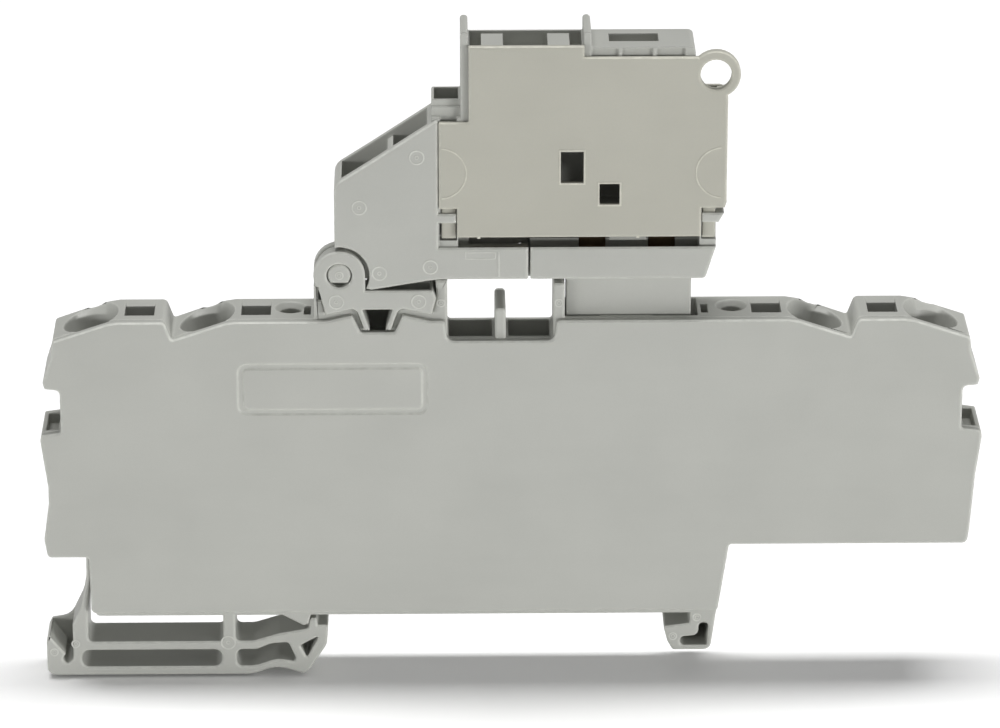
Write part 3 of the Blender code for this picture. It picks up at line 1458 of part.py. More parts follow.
def cover_tongues():
    """Tongues that run down behind the holder's straps, front and back."""
    inner, outer = CORE_Y - 0.5, CORE_Y - 0.02
    root = STRAP_HIGH_Z + STRAP_GAP + 0.1
    made = []
    for face in (-1, 1):
        side = [
            (inner, TONGUE_BOTTOM_Z),
            (outer, TONGUE_BOTTOM_Z),
            (outer, root),
            (BACK_Y - COVER_WALL / 2, root),
            (BACK_Y - COVER_WALL / 2, TONGUE_TOP_Z),
            (inner, TONGUE_TOP_Z),
        ]
        outline = [(face * y, z) for y, z in side]
        for which in (0, 1):
            x0, x1 = tongue_span(which)
            made.append(prism(f"tongue_{face}_{which}", outline, x0, x1, "X"))
    return made


def make_cover(finish, parent):
    front = prism("fuse_cover", cover_outline(True), FRONT_Y, FRONT_Y + COVER_WALL)
    back = prism("back_wall", cover_outline(False), BACK_Y - COVER_WALL, BACK_Y)
    end_low = STRAP_HIGH_Z + STRAP_GAP
    end = prism(
        "end_wall",
        rectangle(COVER_RIGHT_X - END_WALL, end_low + 0.5, COVER_RIGHT_X, END_WALL_TOP_Z - 0.1),
        FRONT_Y + 0.1,
        BACK_Y - 0.1,
    )
    ring = prism("ring", circle(RING_X, RING_Z, RING_RADIUS), FRONT_Y, FRONT_Y + RING_THICKNESS)
    ring_clear = prism(
        "ring_clear",
        rectangle(RING_X - BEYOND, RING_Z - BEYOND, HOLDER_TOP_RIGHT_X + 0.15, RING_Z + BEYOND),
        FRONT_Y + COVER_WALL,
        FRONT_Y + RING_THICKNESS + 1,
    )
    cut(ring, [ring_clear])
    join(front, [back, end, ring, *cover_tongues()])
    cutters = [
        prism(f"window_{i}", rectangle(*sides, 0.1), FRONT_Y - 1, 0)
        for i, sides in enumerate(COVER_WINDOWS)
    ]
    cutters.append(prism("ring_hole", circle(RING_X, RING_Z, RING_HOLE, 24), FRONT_Y - 1, 0))
    return dress(cut(front, cutters), finish, (0, 0, 0), parent)


def clear_scene():
    for item in list(bpy.data.objects):
        bpy.data.objects.remove(item)


def pivot_empty(name, spot):
    empty = bpy.data.objects.new(name, None)
    bpy.context.scene.collection.objects.link(empty)
    empty.location = Vector(spot) * MM
    bpy.context.view_layer.update()
    return empty


def build():
    clear_scene()
    grey = material("housing_grey", linear(178, 180, 174), 0.5)
    cover_grey = material("cover_grey", linear(176, 176, 164), 0.5)
    copper = material("tinned_copper", linear(196, 192, 184), 0.3, 1.0)
    brass = material("contact_brass", linear(176, 148, 112), 0.32, 1.0)
    steel = material("spring_steel", linear(170, 172, 176), 0.28, 1.0)
    nickel = material("cap_nickel", linear(204, 200, 190), 0.22, 1.0)
    wire = material("fuse_wire_tinned", linear(190, 188, 182), 0.4, 1.0)

    make_base(grey)
    make_end_plate(grey)
    make_bracket(grey)
    make_busbar("busbar_left", -1, LEFT_BLADE_X, copper)
    make_busbar("busbar_right", 1, RIGHT_BLADE_X, copper)
    for side, word in ((-1, "left"), (1, "right")):
        make_spring(f"clamp_spring_{word}_outer", side, 0, steel)
        make_spring(f"clamp_spring_{word}_inner", side, 1, steel)
    make_jaw("jaw_contact_left", LEFT_BLADE_X, brass)
    make_jaw("jaw_contact_right", RIGHT_BLADE_X, brass)

    pivot = pivot_empty("holder_pivot", (PIVOT_X, 0, PIVOT_Z))
    make_holder(grey, pivot)
    make_plug(grey, pivot)
    make_contact("fuse_contact_left", -1, LEFT_BLADE_X, brass, pivot)
    make_contact("fuse_contact_right", 1, RIGHT_BLADE_X, brass, pivot)
    make_fuse({"cap": nickel, "glass": glass(), "wire": wire}, pivot)
    make_cover(cover_grey, pivot)


build()
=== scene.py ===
"""Looks of the fuse terminal block: moulded surfaces, worn edges, fine detail, light and camera.

X runs along the block, Y through its thickness with the end plate at -Y, and Z is up. Sizes are in
millimetres and become metres when they are used.
"""

import json
import math

import bmesh
import bpy
from mathutils import Matrix, Vector

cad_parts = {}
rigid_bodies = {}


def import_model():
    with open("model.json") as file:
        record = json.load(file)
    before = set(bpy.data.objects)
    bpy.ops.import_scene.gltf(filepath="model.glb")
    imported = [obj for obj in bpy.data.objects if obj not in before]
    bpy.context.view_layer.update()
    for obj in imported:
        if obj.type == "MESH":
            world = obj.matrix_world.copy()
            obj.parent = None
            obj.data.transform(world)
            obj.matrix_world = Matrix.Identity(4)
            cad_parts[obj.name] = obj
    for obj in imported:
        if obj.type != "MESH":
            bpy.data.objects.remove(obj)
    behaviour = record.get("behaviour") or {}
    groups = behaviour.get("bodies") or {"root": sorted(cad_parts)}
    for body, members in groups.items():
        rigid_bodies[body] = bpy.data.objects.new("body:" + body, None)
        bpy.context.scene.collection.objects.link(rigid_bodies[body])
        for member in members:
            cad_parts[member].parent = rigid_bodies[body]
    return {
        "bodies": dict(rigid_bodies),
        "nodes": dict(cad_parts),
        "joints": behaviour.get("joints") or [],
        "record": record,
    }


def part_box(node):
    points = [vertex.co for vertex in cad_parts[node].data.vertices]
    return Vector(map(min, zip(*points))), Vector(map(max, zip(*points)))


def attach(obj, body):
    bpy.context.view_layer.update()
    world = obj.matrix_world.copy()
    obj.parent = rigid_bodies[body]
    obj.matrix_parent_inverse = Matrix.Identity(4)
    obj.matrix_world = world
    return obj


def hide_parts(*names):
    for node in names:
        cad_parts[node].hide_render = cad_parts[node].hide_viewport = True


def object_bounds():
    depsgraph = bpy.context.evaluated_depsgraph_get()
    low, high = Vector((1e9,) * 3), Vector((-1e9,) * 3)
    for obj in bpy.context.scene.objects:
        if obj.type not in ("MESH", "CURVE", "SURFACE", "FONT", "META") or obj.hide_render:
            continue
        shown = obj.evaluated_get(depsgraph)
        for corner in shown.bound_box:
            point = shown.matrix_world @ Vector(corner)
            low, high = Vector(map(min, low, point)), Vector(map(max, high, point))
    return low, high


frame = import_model()
cad_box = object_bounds()

MM = 0.001
nodes = frame["nodes"]


def front_y(name):
    """Where the front of a node lies along Y, in millimetres."""
    low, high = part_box(name)
    return (low / MM).y


# Sizes

COVER_FRONT_Y = front_y("fuse_cover")
HOLDER_FRONT_Y = front_y("holder_housing")
BASE_FRONT_Y = front_y("base_housing")
BRACKET_FRONT_Y = front_y("hinge_bracket")
COVER_BOTTOM_Z = 38.35

# Chamfers round the flat sides of the mouldings, on faces of at least this many square millimetres
EDGE_CHAMFER = 0.15
THIN_EDGE_CHAMFER = 0.12
SMALLEST_FACE = 0.8

# Edges that are only shaded round: their radius and samples, how far the normal has turned where the
# paler stretch starts and where it is full, and how much paler it is. The paler stretch is partly from
# rubbing and partly a painted highlight
SOFT_EDGE = 0.3
SOFT_EDGE_SAMPLES = 6
WEAR_AND_HIGHLIGHT_FROM = 0.998
WEAR_AND_HIGHLIGHT_TO = 0.94
EDGE_PALER = 1.25

# How far apart corners may lie and still count as one, how flat a joined face has to be, how sharp an
# edge is still shaded smooth, and when a face counts as looking a given way
MERGE_GAP = 0.02
CORNER_REACH = 0.03
FLAT_WITHIN = math.radians(0.4)
SMOOTH_BELOW = math.radians(38)
SAME_WAY = 0.9999

# The slanted lead-in of the tool slots: its lower and upper edge as (y, z), and how they move
SLANT_FOOT = (1.275, 29.6)
SLANT_FOOT_STEP = (0.4, 0.3)
SLANT_HEAD = (2.075, 30.1)
SLANT_HEAD_STEP = (0.7, 0.0)

# The trough along the top of the plug's bar: the corners of its floor as (y, z), and how far they drop
TROUGH_CORNERS = ((-2.75, 36.8), (-0.45, 36.8))
TROUGH_DEEPER = 1.2

# The boss between the blades: the corners of its front face as (y, z), and how far back they go
BOSS_CORNERS = ((-1.65, 37.35), (-1.65, 39.25))
BOSS_STEP = 0.5

# Raised lines on the mouldings, sunk a little into the face that carries them
LINE_WIDTH = 0.15
FINE_LINE_WIDTH = 0.08
LINE_HEIGHT = 0.035
LINE_SINK = 0.03
SHARP_EDGE = math.radians(50)
RING_SIDES = 40

# Rings that the ejector pins leave, as places (x, z) on a face
WIDE_MARK = 0.72
NARROW_MARK = 0.42
DOT_MARK = 0.2
HOLDER_MARKS = ((-7.95, 46.15), (-13.25, 41.3), (-11.45, 34.85), (-6.75, 35.45))
BRACKET_MARKS = ((-15.45, 32.05), (-7.85, 32.05))
POST_MARKS = ((-5.8, 31.65), (5.1, 31.6))
FOOT_MARK = (-26.1, -2.8)
HOOK_MARKS = ((16.05, -2.4), (18.3, -0.45), (-40.55, -2.85), (-42.6, -3.7))
PIVOT = (-15.15, 34.6)
PIN_FACE_SINK = 0.15

# The cover's half circles for the thumb, and the windows that have a rim
THUMB_RADIUS = 2.5
THUMB_Z = 44.6
THUMB_LEFT_X = -5.85
THUMB_RIGHT_X = 20.0
THUMB_INSET = 0.15
COVER_WINDOWS = ((5.2, 43.65, 7.3, 46.7), (8.75, 41.55, 10.6, 43.55))
RIM_WIDTH = 0.17

# Gate marks: a framed patch and a line on the holder's bar as (left, low, right, high), and nubs
# under the cover's edge
GATE_PATCH = (-3.55, 36.2, -0.75, 36.9)
GATE_LINE = (-0.55, 34.5, -0.35, 36.9)
GATE_LINE_WIDTH = 0.09
NUB_PLACES = (-2.3, 12.3)
NUB_WIDTH = 0.3
NUB_DROP = 0.12
NUB_TAPER = 0.05
NUB_TIP = 0.02
NUB_INSIDE = 0.18

# Floor and light. The floor has one grey for the light and a paler one for the camera. The floor's
# width and the lamps' (place, (width, height)) are in metres, and the powers in watts
FLOOR_WIDTH = 8.0
FLOOR_GAP = 0.3
FLOOR_GREY = 0.86
FLOOR_SEEN = 1.16
ROOM_LIGHT = 0.24
TOP_POWER = 10.2
LEFT_POWER = 3.2
RIGHT_POWER = 5.75
LAMP_AIM = (0, 0, 0.025)
TOP_LAMP = ((0, 0.12, 1.15), (1.0, 0.22))
LEFT_LAMP = ((-0.82, -0.68, 0.06), (0.4, 0.12))
RIGHT_LAMP = ((0.82, -0.68, 0.06), (0.4, 0.12))

# Camera, fitted to the photograph
CAMERA_DISTANCE = 480.0
CAMERA_TARGET = (-0.35, -3.1, 25.85)
CAMERA_TILT = math.radians(22.05)
CAMERA_YAW = math.radians(-0.8)
FOCAL_PIXELS = 5180.0
PICTURE_WIDTH = 1000
SENSOR_WIDTH = 36.0
NEAREST_SEEN = 10.0
FARTHEST_SEEN = 20000.0


# Materials


def linear(red, green, blue):
    """A colour from the 0 to 255 values that a picture shows."""
    channels = []
    for value in (red, green, blue):
        share = value / 255
        channels.append(share / 12.92 if share <= 0.04045 else ((share + 0.055) / 1.055) ** 2.4)
    return (*channels, 1.0)


def shade(colour, factor):
    """A paler or darker form of a colour."""
    return (*[min(1.0, channel * factor) for channel in colour[:3]], 1.0)


class Finish:
    """A material whose nodes are added one after another, all on the piece's own coordinates."""

    def __init__(self, name):
        self.material = bpy.data.materials.new(name)
        self.material.use_nodes = True
        self.tree = self.material.node_tree
        self.shader = self.tree.nodes["Principled BSDF"]
        self.place = self.add("ShaderNodeTexCoord").outputs["Object"]

    def add(self, kind, **settings):
        """Adds a node of this kind with its own settings."""
        node = self.tree.nodes.new(kind)
        for key, value in settings.items():
            setattr(node, key, value)
        return node

    def wire(self, source, target):
        """Links the output of one node to the input of another."""
        self.tree.links.new(source, target)

    def stretched(self, scale):
        """The coordinates scaled by three factors, for marks that run one way."""
        mapping = self.add("ShaderNodeMapping")
        mapping.inputs["Scale"].default_value = scale
        self.wire(self.place, mapping.inputs["Vector"])
        return mapping.outputs["Vector"]

    def noise(self, size, detail=3.0, place=None):
        """Noise whose features are about this size in millimetres."""
        node = self.add("ShaderNodeTexNoise")
        node.inputs["Scale"].default_value = 1 / (size * MM)
        node.inputs["Detail"].default_value = detail
        self.wire(place or self.place, node.inputs["Vector"])
        return node.outputs["Fac"]

    def cells(self, size):
        """Small rounded cells of about this size in millimetres."""
        node = self.add("ShaderNodeTexVoronoi", feature="F1")
        node.inputs["Scale"].default_value = 1 / (size * MM)
        self.wire(self.place, node.inputs["Vector"])
        return node.outputs["Distance"]

    def ramp(self, factor, low, high, start=0.3, end=0.7):
        """A run from one colour to another over part of a pattern."""
        node = self.add("ShaderNodeValToRGB")
        node.color_ramp.elements[0].position = start
        node.color_ramp.elements[0].color = low
        node.color_ramp.elements[1].position = end
        node.color_ramp.elements[1].color = high
        self.wire(factor, node.inputs["Fac"])
        return node.outputs["Color"]

    def between(self, factor, low, high):
        """A number that runs from low to high with a pattern."""
        node = self.add("ShaderNodeMapRange")
        node.inputs["From Min"].default_value = 0.3
        node.inputs["From Max"].default_value = 0.7
        node.inputs["To Min"].default_value = low
        node.inputs["To Max"].default_value = high
        self.wire(factor, node.inputs["Value"])
        return node.outputs["Result"]

    def times(self, first, second):
        """The product of two patterns."""
        node = self.add("ShaderNodeMath", operation="MULTIPLY")
        self.wire(first, node.inputs[0])
        self.wire(second, node.inputs[1])
        return node.outputs["Value"]

    def mix(self, factor, first, second):
        """One colour over another, each a colour or the output of a node."""
        node = self.add("ShaderNodeMix", data_type="RGBA")
        self.wire(factor, node.inputs["Factor"])
        for value, socket in ((first, node.inputs[6]), (second, node.inputs[7])):
            if isinstance(value, tuple):
                socket.default_value = value
            else:
                self.wire(value, socket)
        return node.outputs[2]

    def soft_edge(self, radius):
        """The normal of the surface with its edges rounded off, and where the rounding lies."""
        rounded = self.add("ShaderNodeBevel", samples=SOFT_EDGE_SAMPLES)
        rounded.inputs["Radius"].default_value = radius * MM
        flat = self.add("ShaderNodeNewGeometry")
        match = self.add("ShaderNodeVectorMath", operation="DOT_PRODUCT")
        self.wire(rounded.outputs["Normal"], match.inputs[0])
        self.wire(flat.outputs["Normal"], match.inputs[1])
        # The band where the normal has turned, which carries the paler edges: partly rubbing, partly a
        # painted highlight
        rounding_band = self.add("ShaderNodeMapRange")
        rounding_band.inputs["From Min"].default_value = WEAR_AND_HIGHLIGHT_FROM
        rounding_band.inputs["From Max"].default_value = WEAR_AND_HIGHLIGHT_TO
        self.wire(match.outputs["Value"], rounding_band.inputs["Value"])
        return rounded.outputs["Normal"], rounding_band.outputs["Result"]

    def bump(self, patterns, normal=None):
        """Stacks (height pattern, depth in millimetres) one on another."""
        for height, depth in patterns:
            node = self.add("ShaderNodeBump")
            node.inputs["Strength"].default_value = 1.0
            node.inputs["Distance"].default_value = depth * MM
            self.wire(height, node.inputs["Height"])
            if normal is not None:
                self.wire(normal, node.inputs["Normal"])
            normal = node.outputs["Normal"]
        self.wire(normal, self.shader.inputs["Normal"])

    def set(self, **sockets):
        """Sets the shader's own sockets, with an underscore for the space in a socket's name."""
        for name, value in sockets.items():
            self.shader.inputs[name.replace("_", " ")].default_value = value


def moulded_plastic(name, colour, roughness=0.46):
    """Matt moulded polyamide: soft mottling, faint flow lines, a fine spark-eroded grain, specks and
    paler edges, partly from rubbing and partly a painted highlight.
    """
    finish = Finish(name)
    mottle = finish.noise(9.0, 2.0)
    flow = finish.noise(1.6, 4.0, finish.stretched((0.18, 1.0, 1.0)))
    specks = finish.noise(0.22, 2.0)
    grain = finish.noise(0.09, 2.0)
    base = finish.ramp(mottle, shade(colour, 0.965), shade(colour, 1.03))
    streaked = finish.mix(finish.between(flow, 0.0, 0.22), base, shade(colour, 1.07))
    dusty = finish.mix(finish.between(specks, 0.0, 0.10), streaked, shade(colour, 0.86))
    normal, edge = finish.soft_edge(SOFT_EDGE)
    # Paler edges where the flow pattern is strong: partly from rubbing and partly a painted highlight
    wear_and_highlight_mask = finish.times(edge, finish.between(flow, 0.6, 1.0))
    rubbed_and_highlit = finish.mix(wear_and_highlight_mask, dusty, shade(colour, EDGE_PALER))
    sheen = finish.between(mottle, roughness - 0.05, roughness + 0.07)
    finish.wire(rubbed_and_highlit, finish.shader.inputs["Base Color"])
    finish.wire(sheen, finish.shader.inputs["Roughness"])
    finish.bump([(mottle, 0.02), (flow, 0.006), (grain, 0.008)], normal)
    finish.set(IOR=1.53)
    return finish.material


def worn_and_highlit_edge(name, colour):
    """The chamfered edges of a moulding: paler, partly from rubbing and partly as a painted highlight,
    a little polished, with small scuffs.
    """
    finish = Finish(name)
    rub = finish.noise(0.8, 4.0)
    grain = finish.noise(0.12, 2.0)
    # The paler tone on the chamfers is partly from rubbing and partly a painted highlight
    pale = finish.ramp(rub, shade(colour, 1.16), shade(colour, 1.36), 0.35, 0.65)
    finish.wire(pale, finish.shader.inputs["Base Color"])
    finish.wire(finish.between(rub, 0.36, 0.5), finish.shader.inputs["Roughness"])
    finish.bump([(rub, 0.01), (grain, 0.005)])
    finish.set(IOR=1.53)
    return finish.material


def rolled_metal(name, colour, roughness, tarnish, along=(0.05, 1.0, 1.0)):
    """Rolled strip: fine lines along the strip, cloudy tarnish and small pits."""
    finish = Finish(name)
    lines = finish.noise(0.08, 3.0, finish.stretched(along))
    cloud = finish.noise(2.2, 4.0)
    pits = finish.cells(0.5)
    tint = finish.ramp(cloud, tarnish, colour, 0.32, 0.62)
    lined = finish.mix(finish.between(lines, 0.0, 0.25), tint, shade(colour, 0.72))
    finish.wire(lined, finish.shader.inputs["Base Color"])
    sheen = finish.between(cloud, roughness + 0.12, roughness - 0.04)
    finish.wire(sheen, finish.shader.inputs["Roughness"])
    finish.bump([(lines, 0.004), (pits, 0.003)])
    finish.set(Metallic=1.0)
    return finish.material


def plated_cap(name, colour):
    """Bright nickel plating on a drawn cap, with turned lines and fingerprints."""
    finish = Finish(name)
    rings = finish.noise(0.07, 2.0, finish.stretched((1.0, 0.04, 0.04)))
    smudge = finish.noise(1.4, 3.0)
    tint = finish.ramp(smudge, shade(colour, 0.8), colour, 0.3, 0.6)
    finish.wire(tint, finish.shader.inputs["Base Color"])
    finish.wire(finish.between(smudge, 0.3, 0.16), finish.shader.inputs["Roughness"])
    finish.bump([(rings, 0.003), (smudge, 0.004)])
    finish.set(Metallic=1.0)
    return finish.material


def drawn_glass(name):
    """The clear tube, with faint drawing lines along it."""
    finish = Finish(name)
    lines = finish.noise(0.3, 2.0, finish.stretched((0.03, 1.0, 1.0)))
    cast = finish.noise(4.0, 1.0)
    tint = finish.ramp(cast, linear(236, 243, 240), linear(246, 250, 248))
    finish.wire(tint, finish.shader.inputs["Base Color"])
    finish.wire(finish.between(cast, 0.02, 0.06), finish.shader.inputs["Roughness"])
    finish.bump([(lines, 0.002)])
    finish.set(Transmission_Weight=1.0, IOR=1.5)
    return finish.material


HOUSING = linear(176, 177, 171)
COVER = linear(175, 174, 163)
housing_grey = moulded_plastic("housing_grey_moulded", HOUSING)
# Edge finishes: paler, partly from rubbing and partly a painted highlight; on chamfers and raised marks
housing_edge = worn_and_highlit_edge("housing_grey_edge", HOUSING)
cover_grey = moulded_plastic("cover_grey_moulded", COVER)
cover_edge = worn_and_highlit_edge("cover_grey_edge", COVER)
busbar_tin = rolled_metal("busbar_tin", linear(198, 194, 186), 0.3, linear(160, 154, 142))
contact_brass = rolled_metal("contact_brass", linear(158, 136, 112), 0.3, linear(104, 84, 66))
spring_steel = rolled_metal(
    "spring_steel", linear(176, 178, 182), 0.26, linear(134, 134, 132), (1, 1, 0.05)
)
cap_nickel = plated_cap("cap_nickel", linear(206, 203, 194))
fuse_wire_tin = rolled_metal("fuse_wire_tin", linear(190, 188, 180), 0.35, linear(140, 134, 126))
tube_glass = drawn_glass("tube_glass")


# Pieces made from the block's own solids


def select_only(piece):
    """Deselects everything else and makes this piece the active one."""
    bpy.ops.object.select_all(action="DESELECT")
    piece.select_set(True)
    bpy.context.view_layer.objects.active = piece


def edit(piece, select="DESELECT"):
    """Opens one piece in edit mode, with all of it or nothing selected."""
    select_only(piece)
    bpy.ops.object.mode_set(mode="EDIT")
    bpy.ops.mesh.select_mode(type="FACE")
    bpy.ops.mesh.select_all(action=select)


def finish_piece(piece, materials, body):
    """Shades a finished piece, gives it its materials and lets it ride on its body."""
    select_only(piece)
    bpy.ops.object.shade_smooth_by_angle(angle=SMOOTH_BELOW)
    level = piece.modifiers.new("level_faces", "WEIGHTED_NORMAL")
    level.keep_sharp = True
    level.weight = 100
    bpy.ops.object.modifier_apply(modifier=level.name)
    if not piece.data.materials:
        piece.data.materials.append(materials[0])
    for finish in materials[len(piece.data.materials):]:
        piece.data.materials.append(finish)
    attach(piece, body)
    return piece


def open_regions(faces):
    """Groups of joined faces that nothing rises from, so that every edge round them is convex."""
    left = set(faces)
    while left:
        region = [left.pop()]
        open_all_round = True
        for face in region:
            for edge in face.edges:
                others = [other for other in edge.link_faces if other is not face]
                if others and others[0] in left:
                    left.remove(others[0])
                    region.append(others[0])
                elif others and others[0] not in region:
                    open_all_round = open_all_round and edge.calc_face_angle_signed(0) > 0
        if open_all_round:
            yield region


def chamfer_faces(piece, facing, width):
    """Gives the flat faces that look one way a sloping border, inside the shape they had.

    The faces sink by the chamfer's width, and their border then rises to where they were. The border
    takes the second material.
    """
    edit(piece, "SELECT")
    bpy.ops.mesh.quads_convert_to_tris()
    bpy.ops.mesh.select_all(action="DESELECT")
    shape = bmesh.from_edit_mesh(piece.data)
    flat = [face for face in shape.faces if face.normal.dot(facing) > SAME_WAY]
    for region in open_regions(flat):
        if sum(face.calc_area() for face in region) < SMALLEST_FACE * MM * MM:
            continue
        for face in region:
            face.select_set(True)
    bmesh.update_edit_mesh(piece.data)
    bpy.ops.transform.translate(value=facing * -width * MM)
    bpy.ops.mesh.inset(thickness=width * MM, depth=width * MM, use_even_offset=True)
    shape = bmesh.from_edit_mesh(piece.data)
    for face in shape.faces:
        beside_inner = any(other.select for edge in face.edges for other in edge.link_faces)
        if beside_inner and not face.select:
            face.material_index = 1
    bmesh.update_edit_mesh(piece.data)
    bpy.ops.object.mode_set(mode="OBJECT")


def shift_corners(place, step):
    """Moves the corners of the open piece that lie at one depth and height, as (y, z)."""
    bpy.ops.mesh.select_mode(type="VERT")
    bpy.ops.mesh.select_all(action="DESELECT")
    shape = bmesh.from_edit_mesh(bpy.context.active_object.data)
    for vertex in shape.verts:
        y, z = vertex.co.y / MM, vertex.co.z / MM
        vertex.select_set(max(abs(y - place[0]), abs(z - place[1])) < CORNER_REACH)
    bmesh.update_edit_mesh(bpy.context.active_object.data)
    bpy.ops.transform.translate(value=(0, step[0] * MM, step[1] * MM))


def deepen_trough():
    """Runs the trough along the top of the bar further down, so that it lies in shadow."""
    for place in TROUGH_CORNERS:
        shift_corners(place, (0.0, -TROUGH_DEEPER))


def set_back_boss():
    """Sets the boss between the blades further back under the cover."""
    for place in BOSS_CORNERS:
        shift_corners(place, (BOSS_STEP, 0.0))


def open_tool_slots():
    """Runs the slanted lead-in of the tool slots further back and leaves it shallower."""
    shift_corners(SLANT_FOOT, SLANT_FOOT_STEP)
    shift_corners(SLANT_HEAD, SLANT_HEAD_STEP)


def moulded_copy(node, name, width, materials, body, reshape=None):
    """A copy of a node with its faces made whole, its edges broken and its own shape worked in."""
    piece = nodes[node].copy()
    piece.data = nodes[node].data.copy()
    piece.name = name
    # The copy drops what the frame has written on the node
    for key in list(piece.keys()):
        del piece[key]
    piece.parent = None
    bpy.context.scene.collection.objects.link(piece)
    piece.data.materials.clear()
    for finish in materials:
        piece.data.materials.append(finish)
    select_only(piece)
    bpy.ops.mesh.customdata_custom_splitnormals_clear()
    bpy.ops.object.mode_set(mode="EDIT")
    bpy.ops.mesh.select_mode(type="VERT")
    bpy.ops.mesh.select_all(action="SELECT")
    bpy.ops.mesh.remove_doubles(threshold=MERGE_GAP * MM)
    bpy.ops.mesh.dissolve_limited(angle_limit=FLAT_WITHIN)
    if reshape:
        reshape()
    bpy.ops.object.mode_set(mode="OBJECT")
    for side in (-1, 1):
        chamfer_faces(piece, Vector((0, side, 0)), width)
    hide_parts(node)
    return finish_piece(piece, materials, body)


# Fine raised lines and marks on the front faces


def raise_line(piece, width):
    """Turns a flat outline at y = 0 into a closed low line this wide, with softened edges."""
    bpy.ops.object.transform_apply(location=True, rotation=True, scale=True)
    edit(piece, "SELECT")
    bpy.ops.mesh.inset(thickness=width * MM, use_even_offset=True)
    bpy.ops.mesh.delete(type="FACE")
    bpy.ops.mesh.select_all(action="SELECT")
    bpy.ops.mesh.extrude_region_move(
        TRANSFORM_OT_translate={"value": (0, -(LINE_HEIGHT + LINE_SINK) * MM, 0)}
    )
    bpy.ops.mesh.select_all(action="SELECT")
    bpy.ops.mesh.normals_make_consistent(inside=False)
    bpy.ops.mesh.select_mode(type="EDGE")
    bpy.ops.mesh.select_all(action="DESELECT")
    bpy.ops.mesh.edges_select_sharp(sharpness=SHARP_EDGE)
    bpy.ops.mesh.bevel(
        offset=LINE_HEIGHT * 0.5 * MM, segments=2, affect="EDGES", clamp_overlap=True,
    )
    bpy.ops.object.mode_set(mode="OBJECT")
    return piece


def ring_line(radius, width=LINE_WIDTH):
    """A raised ring round its own middle."""
    bpy.ops.object.select_all(action="DESELECT")
    bpy.ops.mesh.primitive_circle_add(
        vertices=RING_SIDES, radius=radius * MM, fill_type="NGON", rotation=(math.radians(90), 0, 0)
    )
    return raise_line(bpy.context.active_object, width)


def frame_line(width, height, line):
    """A raised frame round a window of this width and height."""
    bpy.ops.object.select_all(action="DESELECT")
    bpy.ops.mesh.primitive_plane_add(size=1.0, rotation=(math.radians(90), 0, 0))
    plane = bpy.context.active_object
    plane.scale = ((width + 2 * line) * MM, (height + 2 * line) * MM, 1.0)
    return raise_line(plane, line)


def placed_copies(pattern, places, face_y):
    """Copies of a pattern at places (x, z) on a front face, each with a mesh of its own."""
    made = []
    for x, z in places:
        copy = pattern.copy()
        copy.data = pattern.data.copy()
        copy.data.transform(Matrix.Translation(Vector((x, face_y + LINE_SINK, z)) * MM))
        bpy.context.scene.collection.objects.link(copy)
        made.append(copy)
    bpy.data.objects.remove(pattern)
    return made


def joined(name, pieces, materials, body):
    """One piece made of several loose ones."""
    select_only(pieces[0])
    for piece in pieces[1:]:
        piece.select_set(True)
    if len(pieces) > 1:
        bpy.ops.object.join()
    piece = bpy.context.active_object
    piece.name = name
    return finish_piece(piece, materials, body)


def ejector_marks(name, places, face_y, radius, body):
    """Rings with a small ring in the middle, as an ejector pin leaves them."""
    pieces = placed_copies(ring_line(radius), places, face_y)
    pieces += placed_copies(ring_line(DOT_MARK, FINE_LINE_WIDTH), places, face_y)
    return joined(name, pieces, (housing_edge,), body)


def thumb_line(name, centre_x, keep):
    """A half circle cut from a whole ring. It keeps the half towards +X with 1, the other with -1."""
    ring = ring_line(THUMB_RADIUS)
    edit(ring, "SELECT")
    bpy.ops.mesh.bisect(
        plane_co=(keep * THUMB_INSET * MM, 0, 0), plane_no=(keep, 0, 0), use_fill=True,
        clear_inner=True,
    )
    bpy.ops.object.mode_set(mode="OBJECT")
    pieces = placed_copies(ring, ((centre_x, THUMB_Z),), COVER_FRONT_Y)
    return joined(name, pieces, (cover_edge,), "cover")


def window_rims():
    """The raised rims round the cover's two windows."""
    pieces = []
    for left, low, right, high in COVER_WINDOWS:
        rim = frame_line(right - left, high - low, RIM_WIDTH)
        pieces += placed_copies(rim, (((left + right) / 2, (low + high) / 2),), COVER_FRONT_Y)
    return joined("cover_window_rims", pieces, (cover_edge,), "cover")


def gate_marks():
    """The framed patch and the short line on the holder's lower bar."""
    pieces = []
    line = GATE_LINE_WIDTH
    for left, low, right, high in (GATE_PATCH, GATE_LINE):
        frame = frame_line(right - left - 2 * line, high - low - 2 * line, line)
        pieces += placed_copies(frame, (((left + right) / 2, (low + high) / 2),), HOLDER_FRONT_Y)
    return joined("holder_gate_marks", pieces, (housing_edge,), "holder")


def cover_nubs():
    """Two short nubs that the gates leave under the cover's lower edge."""
    bpy.ops.object.select_all(action="DESELECT")
    bpy.ops.mesh.primitive_cube_add(size=1.0)
    nub = bpy.context.active_object
    nub.scale = (NUB_WIDTH * MM, NUB_WIDTH * MM, NUB_DROP * 2 * MM)
    bpy.ops.object.transform_apply(location=False, rotation=False, scale=True)
    edit(nub)
    bpy.ops.object.mode_set(mode="OBJECT")
    for face in nub.data.polygons:
        face.select = face.normal.z < -0.5
    bpy.ops.object.mode_set(mode="EDIT")
    bpy.ops.mesh.inset(thickness=NUB_TAPER * MM)
    bpy.ops.transform.translate(value=(0, 0, -NUB_TIP * MM))
    bpy.ops.mesh.select_all(action="SELECT")
    bpy.ops.mesh.bevel(offset=NUB_TIP * MM, segments=2, affect="EDGES", clamp_overlap=True)
    bpy.ops.object.mode_set(mode="OBJECT")
    places = [(x, COVER_BOTTOM_Z) for x in NUB_PLACES]
    pieces = placed_copies(nub, places, COVER_FRONT_Y + NUB_INSIDE)
    return joined("cover_gate_nubs", pieces, (cover_edge,), "cover")


# Light, floor and camera


